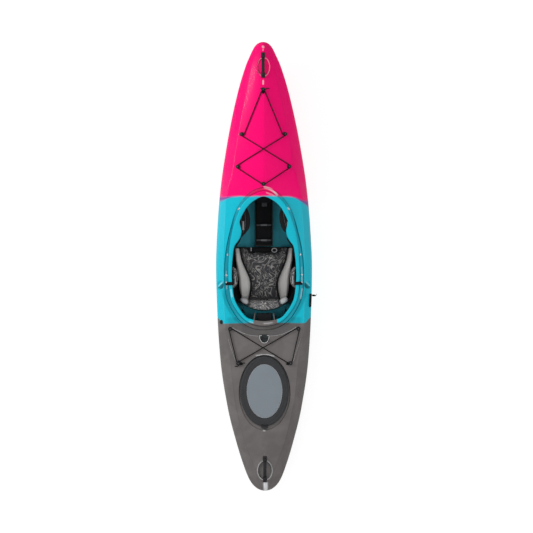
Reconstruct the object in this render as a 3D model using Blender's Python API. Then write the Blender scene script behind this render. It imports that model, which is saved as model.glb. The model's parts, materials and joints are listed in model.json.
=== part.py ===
"""Crossover kayak: a rotomoulded hull with its fittings, each piece a solid of its own.

Metres, +Z up, +Y towards the bow, +X to starboard. The origin is on the flat of the bottom,
halfway along the boat. Run it with blender --background --python part.py.
"""
import bisect
import math

import bmesh
import bpy
from mathutils import Matrix, Vector

# The boat as a whole
LENGTH = 2.92
HALF = LENGTH / 2
WALL = 0.005
GAP = 0.0003
TIP_BLUNTNESS = 60
PORT_AND_STARBOARD = {"port": -1, "starboard": 1}

# Lines of the boat: (distance ahead of the middle, value there)
HALF_BEAM = [(-1.46, 0.066), (-1.387, 0.103), (-1.309, 0.133), (-1.153, 0.182), (-0.919, 0.240),
             (-0.607, 0.286), (-0.30, 0.305), (0.0, 0.312), (0.25, 0.302), (0.484, 0.283),
             (0.796, 0.237), (1.107, 0.172), (1.30, 0.115), (1.40, 0.0745), (1.46, 0.055)]
KEEL_HEIGHT = [(-1.46, 0.085), (-1.25, 0.040), (-1.0, 0.012), (-0.6, 0.0), (0.46, 0.0),
               (0.8, 0.018), (1.1, 0.060), (1.3, 0.112), (1.46, 0.165)]
GUNWALE_HEIGHT = [(-1.46, 0.160), (-1.0, 0.165), (-0.5, 0.180), (0.0, 0.195), (0.6, 0.205),
                  (1.0, 0.222), (1.3, 0.236), (1.46, 0.240)]
CREASE_HALF = [(-1.46, 0.030), (-1.345, 0.055), (-1.17, 0.121), (-1.03, 0.160), (-0.833, 0.198),
               (-0.61, 0.222), (-0.44, 0.2505), (-0.05, 0.2700), (0.30, 0.258), (0.494, 0.236),
               (0.62, 0.203), (0.832, 0.168), (1.114, 0.112), (1.324, 0.0675), (1.46, 0.030)]
CREASE_HEIGHT = [(-1.46, 0.205), (-1.1, 0.226), (-0.83, 0.238), (-0.5, 0.236), (-0.2, 0.256),
                 (0.05, 0.279), (0.25, 0.298), (0.62, 0.298), (1.0, 0.288), (1.3, 0.276),
                 (1.46, 0.268)]
RIDGE_HEIGHT = [(-1.46, 0.215), (-1.1, 0.243), (-0.8, 0.250), (-0.5, 0.250), (-0.2, 0.262),
                (0.0, 0.300), (0.2, 0.350), (0.4, 0.359), (0.515, 0.357), (0.8, 0.345),
                (1.1, 0.325), (1.3, 0.306), (1.46, 0.285)]
BOTTOM_FORM = [(0.74, 0.06), (0.87, 0.22), (0.96, 0.55), (1.0, 1.0)]
FLAT_SHARE = 0.42
SIDE_DECK_ROUNDING = 0.8
RIDGE_ROUNDING = 1.35

# Where the deck's plain lengths meet the cockpit's and the hatch's lengths
COCKPIT_FRONT = 0.60
COCKPIT_REAR = -0.52
HATCH_REAR = -1.11
BOW_STATIONS = [1.459, 1.450, 1.430, 1.390, 1.330, 1.240, 1.130, 1.0, 0.86, 0.72]
STERN_STATIONS = [-1.20, -1.29, -1.36, -1.41, -1.44, -1.453, -1.459]
COCKPIT_STEPS = 16
HATCH_STEPS = 8
CREASE_SHARES = [0.0, 0.22, 0.48, 0.75, 1.0]
DECK_STEPS = len(CREASE_SHARES) + 1
RING_MARGIN = 0.025
RING_CORNER = 0.012

# Cockpit, as half outlines in plan from the front to the rear
LIP_OUTLINE = [(0.0, 0.490), (0.075, 0.463), (0.128, 0.417), (0.160, 0.365), (0.194, 0.27),
               (0.2105, 0.207), (0.225, 0.114), (0.232, -0.02), (0.229, -0.12),
               (0.210, -0.229), (0.148, -0.325), (0.085, -0.370), (0.0, -0.386)]
OPENING_OUTLINE = [(0.0, 0.453), (0.062, 0.427), (0.104, 0.39), (0.1315, 0.3475), (0.152, 0.305),
                   (0.156, 0.2825), (0.147, 0.2475), (0.144, 0.227), (0.1525, 0.19),
                   (0.1705, 0.161), (0.19, 0.133), (0.200, 0.085), (0.2085, -0.02),
                   (0.207, -0.11), (0.1887, -0.22), (0.135, -0.3085), (0.0916, -0.340),
                   (0.0, -0.354)]
HOLLOW_OUTLINE = [(0.0, 0.515), (0.06, 0.498), (0.111, 0.4625), (0.1775, 0.3715),
                  (0.2195, 0.239), (0.247, 0.114), (0.2605, -0.02), (0.257, -0.14),
                  (0.236, -0.235), (0.17, -0.345), (0.09, -0.400), (0.0, -0.415)]
LIP_REAR_HEIGHT = 0.262
LIP_RISE = 0.113
LIP_RISE_POWER = 1.6
LIP_STAND = 0.030
LIP_THICK = 0.006
WALL_INSET = 0.017
COAMING_WALL = 0.0045

# Hatch, as half axes (across, along)
HATCH_CENTRE = -0.810
HATCH_HOLLOW = (0.168, 0.2460)
HATCH_HOLLOW_CENTRE = -0.8205
HATCH_HOLLOW_HEIGHT = 0.232
HATCH_COLLAR = (0.150, 0.2205)
HATCH_OPENING = (0.137, 0.207)
HATCH_COLLAR_TOP = 0.2440
HATCH_LID = (0.1575, 0.2286)
HATCH_PANEL = (0.116, 0.1734)
HATCH_LID_TOP = 0.2500

# Skeg
SKEG_PIVOT = (0.0, -0.985, 0.060)
SKEG_SLOT = (-1.255, -0.960)
SKEG_SLOT_HALF = 0.0045
SKEG_BLADE_THICK = 0.005
SKEG_BOX_HALF = 0.010
SKEG_BOX_BORE_HALF = 0.006
SKEG_BOX_TOP = 0.160
SKEG_PIN_RADIUS = 0.003
SKEG_LINE_PLACE = (0.2965, -0.188)
SKEG_LINE_THROUGH_BULKHEAD = ((0.205, -0.540, 0.132), (0.228, -0.440, 0.147))
SKEG_LINE_ROUTE = [(0, -0.940, 0.125), (0.012, -0.89, 0.125), (0.06, -0.80, 0.105),
                   (0.13, -0.70, 0.100), *SKEG_LINE_THROUGH_BULKHEAD, (0.246, -0.36, 0.160),
                   (0.244, -0.26, 0.168)]
SKEG_LINE_DEPTHS = (0.066, 0.058, 0.030, 0.0)
SKEG_BLADE_OUTLINE = [(-0.973, 0.052), (-0.975, 0.072), (-1.03, 0.105), (-1.10, 0.128),
                      (-1.15, 0.140), (-1.205, 0.138), (-1.222, 0.120), (-1.218, 0.062),
                      (-1.205, 0.050), (-1.10, 0.036), (-1.0, 0.030), (-0.980, 0.037)]
SKEG_BOX_MARGIN = 0.010
SKEG_BOX_WALL = 0.005
SKEG_LINE_RADIUS = 0.002
SKEG_TUBE_RADIUS = 0.0045
SKEG_TUBE_BORE = 0.0030
CLEAT_SPAN = (-0.264, -0.178)
CLEAT_SECTION = [(-0.007, 0.0012), (0.007, 0.0012), (0.007, 0.010), (0.0028, 0.010),
                 (0.0028, 0.0055), (-0.0028, 0.0055), (-0.0028, 0.010), (-0.007, 0.010)]
TOGGLE_SPAN = (0.020, 0.042)

# Deck fittings and cords
CORD_RADIUS = 0.0026
EYE_RADIUS = 0.012
EYE_NECK = 0.0035
EYE_BASE = 0.003
EYE_HEIGHT = 0.0148
BOW_EYES = {"top": (0.0, 1.149), "upper": (0.139, 0.859), "lower": (0.165, 0.648),
            "bottom": (0.0, 0.535)}
STERN_EYES = {"front": (0.222, -0.405), "rear": (0.170, -0.629)}
SECURITY_BAR_PLACE = -0.470
SECURITY_BAR_DEEP = 0.006
SECURITY_BAR_SECTION = [(-0.025, 0.0008), (-0.025, 0.013), (-0.020, 0.018), (0.020, 0.018),
                        (0.025, 0.013), (0.025, 0.0008), (0.019, 0.0008), (0.019, 0.010),
                        (0.017, 0.012), (-0.017, 0.012), (-0.019, 0.010), (-0.019, 0.0008)]
DRAIN_PLACE = (-0.278, -0.360)
DRAIN_RADIUS = 0.0065
DRAIN_HEAD = 0.011

# Carry handles: (front end, rear end) along the centre line
BOW_HANDLE = (1.389, 1.224)
STERN_HANDLE = (-1.232, -1.402)
HANDLE_BLOCK = (0.026, 0.036, 0.016)
HANDLE_GRIP = (0.021, 0.012)
HANDLE_ARCH = 0.034
HANDLE_RIBS = 9

# Seat
SEAT_FRONT = 0.127
SEAT_REAR = -0.235
PAN_THICK = 0.004
PAN_STATIONS = [-0.235, -0.19, -0.15, -0.125, -0.10, -0.04, 0.02, 0.07, 0.127]
PAN_FORM = [(0.0, 0.0102), (0.11, 0.0102), (0.165, 0.024), (0.200, 0.062), (0.2125, 0.112)]
PAN_CORNERS = [0.0, 0.06, 0.11, 0.165, 0.200, 0.2125]
PAN_RIM = 0.2145
PAN_OUTWARD = [0.0, 0.0, 0.0, 0.45, 0.85, 0.98, 1.0]
PAN_DOWNWARD = [1.0, 1.0, 1.0, 0.9, 0.53, 0.2, 0.0]
PAN_WIDTH = [(-0.235, 0.80), (-0.19, 0.90), (-0.14, 0.985), (-0.05, 1.0), (0.05, 0.99), (0.127, 0.94)]
PAN_WING_TOP = [(-0.235, 0.080), (-0.15, 0.100), (-0.13, 0.19), (-0.10, 0.238), (0.02, 0.243),
                (0.07, 0.18), (0.127, 0.122)]
CUSHION_HALF = [(-0.235, 0.102), (-0.178, 0.092), (-0.13, 0.083), (-0.081, 0.090),
                (-0.016, 0.118), (0.055, 0.146), (0.127, 0.157)]
CUSHION_DISH = 0.010
BOLSTER_HALF = [(-0.235, 0.145), (-0.15, 0.165), (-0.08, 0.168), (-0.02, 0.177), (0.02, 0.186),
                (0.06, 0.191), (0.127, 0.191)]
CUSHION_TOP = [(-0.235, 0.056), (-0.12, 0.044), (0.0, 0.056), (0.08, 0.078), (0.127, 0.086)]
BOLSTER_TOP = [(-0.235, 0.088), (-0.10, 0.092), (0.0, 0.096), (0.127, 0.112)]
HIP_PAD_SPAN = (-0.142, 0.0)
HIP_PAD_HEIGHTS = (0.106, 0.214)
HIP_PAD_FACE = 0.170
HIP_PAD_BACK = 0.2085
HIP_BUCKLE_SPAN = (-0.115, -0.060)
HIP_BUCKLE_SIDES = (0.182, 0.193)
LIFTER_STRAP = ((-0.082, 0.125, 0.0135), (0.042, 0.128, 0.070))

# Backband: an elliptical arc round the seat's rear, on two pivots at the hips
BAND_CENTRE = -0.13
BAND_OUTER = (0.198, 0.160)
BAND_SHELL = 0.004
BAND_HEIGHTS = (0.118, 0.226)
BAND_HALF_ANGLE = math.radians(82)
BAND_PAD_ANGLE = math.radians(33)
BAND_PAD_THICK = (0.030, 0.068)
BAND_WEDGE_ANGLE = math.radians(57)
BAND_PIVOT = (0.0, -0.150, 0.130)
BAND_TAB = 0.022

# Thigh braces
BRACE_BOLT = (0.164, 0.372)
BRACE_HEIGHTS = (0.250, 0.270)
BRACE_OUTER = [(0.150, 0.405), (0.185, 0.372), (0.192, 0.30), (0.190, 0.235), (0.178, 0.185)]
BRACE_INNER = [(0.120, 0.400), (0.094, 0.350), (0.086, 0.300), (0.096, 0.245), (0.148, 0.185)]
BRACE_TURN = {"port": 0.0, "starboard": math.radians(-12)}
BRACE_PLATE = (0.018, 0.058, 0.005)
BRACE_PLATE_PLACE = (0.134, 0.266)
BRACE_BORE = 0.0036

# Foot braces
RAIL_ENDS = ((0.250, 0.50), (0.186, 0.93))
RAIL_HEIGHT = 0.130
RAIL_SECTION = (0.008, 0.030)
PEDAL_ALONG = 0.21
PEDAL_SIZE = (0.080, 0.007, 0.100)
PEDAL_CARRIAGE = 0.05
PEDAL_FOOT = -0.045
PEDAL_PLAY = 0.0006
PEDAL_JAW = 0.004
RAIL_FOOT = (0.0035, 0.03)

# Pillars, tray and bulkhead
TRAY_HALF = 0.058
TRAY_SPAN = (0.132, 0.455)
TRAY_RUNGS = (0.271, 0.172)
PILLAR_HALF = 0.045
PILLAR_SPAN = (0.47, 1.15)
STERN_PILLAR_HALF = 0.050
STERN_PILLAR_SPAN = (-0.468, -0.304)
STERN_PILLAR_TOP = 0.208
WEB_FACES = (0.0565, 0.0645)
WEB_PROFILE = [(-0.372, 0.244), (-0.356, 0.252), (-0.330, 0.226), (-0.297, 0.196),
               (-0.297, 0.150), (-0.372, 0.200)]
TRAY_FLOOR = WALL + 0.0006
TRAY_PLATE = 0.005
TRAY_RAIL_TOP = 0.062
TRAY_RUNG_HEIGHTS = (0.046, 0.056)
PILLAR_FOOT = [(0.182, 0.0112), (0.182, 0.044), (0.415, 0.044), (0.440, 0.12), (0.47, 0.315)]
PILLAR_HEEL = [(0.458, 0.0066), (0.4555, 0.0112)]
BULKHEAD_SPAN = (-0.500, -0.472)
BULKHEAD_CLEARANCE = WALL + 0.003
BULKHEAD_HEIGHTS = (0.010, 0.022, 0.05, 0.10, 0.16)

# Webbing over the coaming: its path is given as (x, height over the lip)
STRAP_PLACE = -0.110
STRAP_WIDTH = 0.021
STRAP_THICK = 0.0014
STRAP_PATH = [(0.250, -0.0282), (0.236, -0.0282), (0.2345, -0.010), (0.2315, 0.0015),
              (0.222, 0.0035), (0.2060, 0.0022), (0.2030, -0.006), (0.2000, -0.060)]


# Curves and surfaces of the boat

def smooth(knots, place):
    """Height of the smooth curve through (place, value) knots, without overshoot."""
    places = [knot[0] for knot in knots]
    values = [knot[1] for knot in knots]
    if place <= places[0]:
        return values[0]
    if place >= places[-1]:
        return values[-1]
    spans = [b - a for a, b in zip(places, places[1:])]
    slopes = [(b - a) / span for a, b, span in zip(values, values[1:], spans)]

    def tangent(knot):
        if knot == 0:
            return slopes[0]
        if knot == len(slopes):
            return slopes[-1]
        before, after = slopes[knot - 1], slopes[knot]
        if before * after <= 0:
            return 0.0
        return 2 * before * after / (before + after)

    left = bisect.bisect_right(places, place) - 1
    span = spans[left]
    t = (place - places[left]) / span
    start = (1 + 2 * t) * (1 - t) ** 2 * values[left] + t * (1 - t) ** 2 * span * tangent(left)
    end = t * t * (3 - 2 * t) * values[left + 1] - t * t * (1 - t) * span * tangent(left + 1)
    return start + end


def tip(y):
    """Share of the full section left at y: 1 along the boat, 0 at the rounded ends."""
    return math.sqrt(max(0.0, 1.0 - abs(y / HALF) ** TIP_BLUNTNESS))


def half_beam(y):
    return smooth(HALF_BEAM, y) * tip(y)


def bottom_point(y, across, up):
    """Point of the bottom's section: shares of the half beam and of the depth."""
    gunwale = smooth(GUNWALE_HEIGHT, y)
    keel = smooth(KEEL_HEIGHT, y)
    return Vector((across * half_beam(y), y, gunwale + (keel - gunwale) * (1 - up) * tip(y)))


def bottom_section(y):
    """Shares (across, up) of the section's corners from the keel to the gunwale."""
    flat = FLAT_SHARE * (1 - abs(y / HALF) ** 4) + 0.05
    return [(0.0, 0.0), (flat, 0.0)] + BOTTOM_FORM


def bottom_half_width(y, z):
    """Half width of the outer hull at height z."""
    corners = [bottom_point(y, across, up) for across, up in bottom_section(y)]
    for low, high in zip(corners[1:], corners[2:]):
        if low.z <= z <= high.z:
            return low.x + (high.x - low.x) * (z - low.z) / (high.z - low.z)
    return corners[-1].x


def crease_half(y):
    """Half width of the deck at the crease between its top and its sides."""
    return min(smooth(CREASE_HALF, y) * tip(y), 0.85 * half_beam(y))


def deck_height(x, y):
    """Height of the deck before the cockpit and the hatch are let into it."""
    beam = max(half_beam(y), 0.001)
    crease = max(crease_half(y), 0.0008)
    gunwale = smooth(GUNWALE_HEIGHT, y)
    crease_height = gunwale + (smooth(CREASE_HEIGHT, y) - gunwale) * tip(y)
    ridge_height = gunwale + (smooth(RIDGE_HEIGHT, y) - gunwale) * tip(y)
    side = min(abs(x), beam)
    if side >= crease:
        share = (beam - side) / (beam - crease)
        return gunwale + (crease_height - gunwale) * share ** SIDE_DECK_ROUNDING
    return crease_height + (ridge_height - crease_height) * (1 - (side / crease) ** RIDGE_ROUNDING)


def deck_frame(x, y):
    """Matrix of a fitting on the deck: Z square to the deck, Y towards the bow."""
    step = 0.004
    across = deck_height(x + step, y) - deck_height(x - step, y)
    along = deck_height(x, y + step) - deck_height(x, y - step)
    normal = Vector((-across, -along, 2 * step)).normalized()
    right = Vector((0, 1, 0)).cross(normal).normalized()
    forward = normal.cross(right)
    turn = Matrix((right, forward, normal)).transposed().to_4x4()
    return Matrix.Translation((x, y, deck_height(x, y))) @ turn


def lip_height(y):
    """Height of the coaming's lip, which climbs towards the front."""
    front, rear = LIP_OUTLINE[0][1], LIP_OUTLINE[-1][1]
    share = (y - rear) / (front - rear)
    return LIP_REAR_HEIGHT + LIP_RISE * max(0.0, share) ** LIP_RISE_POWER


def half_curve(points, steps=8):
    """Function from a share of the way, 0 to 1, to a point on the curve through the points."""
    first = (-points[1][0], points[1][1])
    last = (-points[-2][0], points[-2][1])
    padded = [Vector(p) for p in [first] + points + [last]]
    dense = []
    for a, b, c, d in zip(padded, padded[1:], padded[2:], padded[3:]):
        for step in range(steps):
            t = step / steps
            dense.append(0.5 * ((2 * b) + (c - a) * t + (2 * a - 5 * b + 4 * c - d) * t * t
                                + (3 * b - a - 3 * c + d) * t ** 3))
    dense.append(padded[-2])
    lengths = [0.0]
    for a, b in zip(dense, dense[1:]):
        lengths.append(lengths[-1] + (b - a).length)

    def at(share):
        target = min(max(share, 0.0), 1.0) * lengths[-1]
        index = min(bisect.bisect_right(lengths, target), len(dense) - 1)
        span = lengths[index] - lengths[index - 1]
        return dense[index - 1].lerp(dense[index], (target - lengths[index - 1]) / span)

    return at


def half_ellipse(centre, axes):
    """The same kind of function for an ellipse, from its front to its rear."""
    def at(share):
        angle = share * math.pi
        return Vector((axes[0] * math.sin(angle), centre + axes[1] * math.cos(angle)))

    return at


def inset(curve, distance):
    """A half curve moved towards its inside by a distance."""
    def at(share):
        ahead = curve(min(share + 0.01, 1.0))
        behind = curve(max(share - 0.01, 0.0))
        along = (ahead - behind).normalized()
        if share in (0.0, 1.0):
            along = Vector((1.0 if share == 0.0 else -1.0, 0.0))
        return curve(share) + Vector((along.y, -along.x)) * distance

    return at


# Making objects

def clear_scene():
    for thing in list(bpy.data.objects):
        bpy.data.objects.remove(thing, do_unlink=True)


def material(name, colour, roughness, metallic=0.0):
    paint = bpy.data.materials.new(name)
    paint.use_nodes = True
    shader = paint.node_tree.nodes["Principled BSDF"]
    shader.inputs["Base Color"].default_value = (*colour, 1)
    shader.inputs["Roughness"].default_value = roughness
    shader.inputs["Metallic"].default_value = metallic
    return paint


MOULDED = (0.02, 0.42, 0.52), 0.3
BLACK_RUBBER = (0.012, 0.012, 0.014), 0.6
BLACK_PLASTIC = (0.014, 0.014, 0.016), 0.4
BLACK_FOAM = (0.016, 0.017, 0.019), 0.9
BLACK_CORD = (0.012, 0.012, 0.015), 0.75
GREY_PANEL = (0.20, 0.24, 0.29), 0.45
GREY_CLOTH = (0.22, 0.21, 0.20), 0.85
PRINTED_CLOTH = (0.07, 0.07, 0.075), 0.85
LIGHT_PLASTIC = (0.50, 0.50, 0.50), 0.4
STEEL = (0.55, 0.55, 0.56), 0.3, 1.0


def finish_object(bm, name, look, rounded=None):
    """Turn a bmesh into a named object with its own material, faces pointing out."""
    bm.normal_update()
    bmesh.ops.recalc_face_normals(bm, faces=bm.faces)
    mesh = bpy.data.meshes.new(name)
    bm.to_mesh(mesh)
    bm.free()
    if rounded is not None:
        mesh.shade_smooth()
        mesh.set_sharp_from_angle(angle=math.radians(rounded))
    body = bpy.data.objects.new(name, mesh)
    bpy.context.collection.objects.link(body)
    mesh.materials.append(material(name, *look))
    return body


def turned(name, profile, steps, place, look):
    """Round piece: (radius, height) corners from the axis round to the axis, spun about Z."""
    bm = bmesh.new()
    corners = [bm.verts.new((radius, 0, height)) for radius, height in profile]
    edges = [bm.edges.new(pair) for pair in zip(corners, corners[1:])]
    if profile[0][0] > 0:
        edges.append(bm.edges.new((corners[-1], corners[0])))
    bmesh.ops.spin(bm, geom=corners + edges, cent=(0, 0, 0), axis=(0, 0, 1),
                   angle=2 * math.pi, steps=steps, use_merge=True)
    bmesh.ops.remove_doubles(bm, verts=bm.verts, dist=1e-6)
    bm.transform(place)
    return finish_object(bm, name, look, rounded=40)


def extruded(name, outline, thickness, place, look, start=0.0):
    """Flat outline in XY pushed up along Z by a thickness, then set in place."""
    bm = bmesh.new()
    face = bm.faces.new([bm.verts.new((x, y, start)) for x, y in outline])
    pushed = bmesh.ops.extrude_face_region(bm, geom=[face])["geom"]
    bmesh.ops.translate(bm, vec=(0, 0, thickness),
                        verts=[g for g in pushed if isinstance(g, bmesh.types.BMVert)])
    bm.transform(place)
    return finish_object(bm, name, look)


def block(name, low, high, look, chamfer=0.0, place=Matrix.Identity(4)):
    """Box between two corners, with one chamfer along every edge, then set in place."""
    bm = bmesh.new()
    bmesh.ops.create_cube(bm, size=1)
    size = Vector(high) - Vector(low)
    middle = (Vector(high) + Vector(low)) / 2
    bm.transform(Matrix.Translation(middle) @ Matrix.Diagonal((*size, 1)))
    if chamfer:
        bmesh.ops.bevel(bm, geom=bm.edges[:], offset=chamfer, segments=1, affect="EDGES",
                        profile=0.5, material=-1)
    bm.transform(place)
    return finish_object(bm, name, look)


def slab(name, upper, lower, across, along, look):
    """Closed pad between two surfaces, each a function of shares (u, v) from 0 to 1."""
    bm = bmesh.new()
    layers = []
    for surface in (upper, lower):
        layers.append([[bm.verts.new(surface(i / across, j / along)) for j in range(along + 1)]
                       for i in range(across + 1)])
    top, under = layers
    for layer in layers:
        for i in range(across):
            for j in range(along):
                bm.faces.new((layer[i][j], layer[i + 1][j], layer[i + 1][j + 1], layer[i][j + 1]))
    for j in range(along):
        for i in (0, across):
            bm.faces.new((top[i][j], top[i][j + 1], under[i][j + 1], under[i][j]))
    for i in range(across):
        for j in (0, along):
            bm.faces.new((top[i][j], top[i + 1][j], under[i + 1][j], under[i][j]))
    return finish_object(bm, name, look, rounded=50)


def cord(name, points, radius, look, resolution=1):
    """Tube along points, with its ends closed."""
    curve = bpy.data.curves.new(name, "CURVE")
    curve.dimensions = "3D"
    curve.bevel_depth = radius
    curve.bevel_resolution = resolution
    curve.use_fill_caps = True
    spline = curve.splines.new("POLY")
    spline.points.add(len(points) - 1)
    for point, place in zip(spline.points, points):
        point.co = (*place, 1)
    body = bpy.data.objects.new(name, curve)
    bpy.context.collection.objects.link(body)
    curve.materials.append(material(name, *look))
    return body


def through(points, steps):
    """Smooth 3D route through points, with some steps in each stretch."""
    points = [Vector(p) for p in points]
    padded = [2 * points[0] - points[1]] + points + [2 * points[-1] - points[-2]]
    route = []
    for a, b, c, d in zip(padded, padded[1:], padded[2:], padded[3:]):
        for step in range(steps):
            t = step / steps
            route.append(0.5 * ((2 * b) + (c - a) * t + (2 * a - 5 * b + 4 * c - d) * t * t
                                + (3 * b - a - 3 * c + d) * t ** 3))
    return route + [points[-1]]


def cut(body, cutter, operation="DIFFERENCE"):
    """Boolean on the body with a hidden cutter."""
    cutter.hide_render = True
    cutter.display_type = "WIRE"
    step = body.modifiers.new(cutter.name, "BOOLEAN")
    step.operation = operation
    step.object = cutter
    step.solver = "EXACT"


def cutting_cylinder(name, start, end, radius, steps=12):
    """Cylinder between two points, for a hole."""
    start, end = Vector(start), Vector(end)
    turn = (end - start).to_track_quat("Z", "Y").to_matrix().to_4x4()
    profile = [(0, 0), (radius, 0), (radius, (end - start).length), (0, (end - start).length)]
    return turned(name, profile, steps, Matrix.Translation(start) @ turn, BLACK_PLASTIC)


def mirrored(points):
    return [(-x, y) for x, y in points]


def on_axis(name, point, bodies):
    """Parent bodies that move together to an empty on their joint's axis."""
    axis = bpy.data.objects.new(name, None)
    axis.location = point
    bpy.context.collection.objects.link(axis)
    bpy.context.view_layer.update()
    for body in bodies:
        body.parent = axis
        body.matrix_parent_inverse = axis.matrix_world.inverted()


# Hull shell: one skin of rings and stations, offset inwards for the inner face

class Shell:
    """The moulded shell's mesh while it is built."""

    def __init__(self):
        self.bm = bmesh.new()
        self.bottom = {}
        self.deck = {}

    def station(self, y):
        """Corners of the bottom at y, from port gunwale through the keel to starboard."""
        if y not in self.bottom:
            corners = {}
            for index, (across, up) in enumerate(bottom_section(y)):
                for side in ((1,) if index == 0 else (-1, 1)):
                    place = bottom_point(y, across * side, up)
                    corners[side * index] = self.bm.verts.new(place)
            self.bottom[y] = corners
        return self.bottom[y]

    def deck_row(self, y):
        """Corners across the deck at y, which share the bottom's gunwale corners."""
        if y not in self.deck:
            bottom = self.station(y)
            edge = max(bottom)
            crease = crease_half(y)
            places = [share * crease for share in CREASE_SHARES]
            places.append((crease + half_beam(y)) / 2)
            row = {DECK_STEPS: bottom[edge], -DECK_STEPS: bottom[-edge]}
            for index, x in enumerate(places):
                for side in ((1,) if index == 0 else (-1, 1)):
                    row[side * index] = self.bm.verts.new((side * x, y, deck_height(x, y)))
            self.deck[y] = row
        return self.deck[y]

    def quads(self, first, second):
        """Faces between two rows with the same keys."""
        keys = sorted(first)
        for a, b in zip(keys, keys[1:]):
            self.bm.faces.new((first[a], first[b], second[b], second[a]))

    def ring(self, first, second):
        """Faces between two closed rings of the same count."""
        count = len(first)
        for i in range(count):
            j = (i + 1) % count
            self.bm.faces.new((first[i], first[j], second[j], second[i]))

    def boundary(self, stations):
        """Closed ring round a length of deck: rows at its two ends, gunwales between."""
        front, rear = self.deck_row(stations[0]), self.deck_row(stations[-1])
        edge = max(self.station(stations[0]))
        half = [front[i] for i in range(DECK_STEPS + 1)]
        half += [self.station(y)[edge] for y in stations[1:-1]]
        half += [rear[i] for i in range(DECK_STEPS, -1, -1)]
        other = [rear[-i] for i in range(1, DECK_STEPS + 1)]
        other += [self.station(y)[-edge] for y in reversed(stations[1:-1])]
        other += [front[-i] for i in range(DECK_STEPS, 0, -1)]
        return half + other

    def closed_ring(self, plan, height):
        """Ring through the plan points of its starboard half, and their mirror images."""
        half = [self.bm.verts.new((x, y, height(x, y))) for x, y in plan]
        other = []
        for vert in reversed(half[1:-1]):
            other.append(self.bm.verts.new((-vert.co.x, vert.co.y, vert.co.z)))
        return half + other

    def crease_ring(self, stations):
        """Ring inside the boundary, on the deck's crease at the sides; and its shares of the way."""
        front, rear = stations[0] - RING_MARGIN, stations[-1] + RING_MARGIN
        corner = 2 * RING_CORNER
        count = len(stations) - 1
        along = steps_between(front - corner, rear + corner, count)[1:-1]
        along = [front - RING_CORNER, front - corner] + along + [rear + corner, rear + RING_CORNER]
        plan = [(share * crease_half(front), front) for share in CREASE_SHARES]
        plan += [(crease_half(y), y) for y in along]
        plan += [(share * crease_half(rear), rear) for share in reversed(CREASE_SHARES)]
        lengths = [0.0]
        for a, b in zip(plan, plan[1:]):
            lengths.append(lengths[-1] + math.dist(a, b))
        shares = [length / lengths[-1] for length in lengths]
        return self.closed_ring(plan, deck_height), shares

    def place_ring(self, shares, curve, height):
        """Ring on a plan curve, at the given shares of the way."""
        return self.closed_ring([curve(share) for share in shares], height)

    def inner_skin(self):
        """Copy of the skin moved inwards by the wall's thickness; returns old to new corners."""
        bm = self.bm
        faces = bm.faces[:]
        bmesh.ops.recalc_face_normals(bm, faces=faces)
        bm.normal_update()
        keel = self.bottom[0.0 if 0.0 in self.bottom else sorted(self.bottom, key=abs)[0]][0]
        if keel.normal.z > 0:
            bmesh.ops.reverse_faces(bm, faces=faces)
            bm.normal_update()
        inside = {}
        for vert in bm.verts[:]:
            inside[vert] = bm.verts.new(vert.co - vert.normal * WALL)
        for face in faces:
            bm.faces.new([inside[vert] for vert in reversed(face.verts)])
        return inside


def steps_between(start, end, count):
    return [start + (end - start) * i / count for i in range(count)] + [end]


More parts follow.
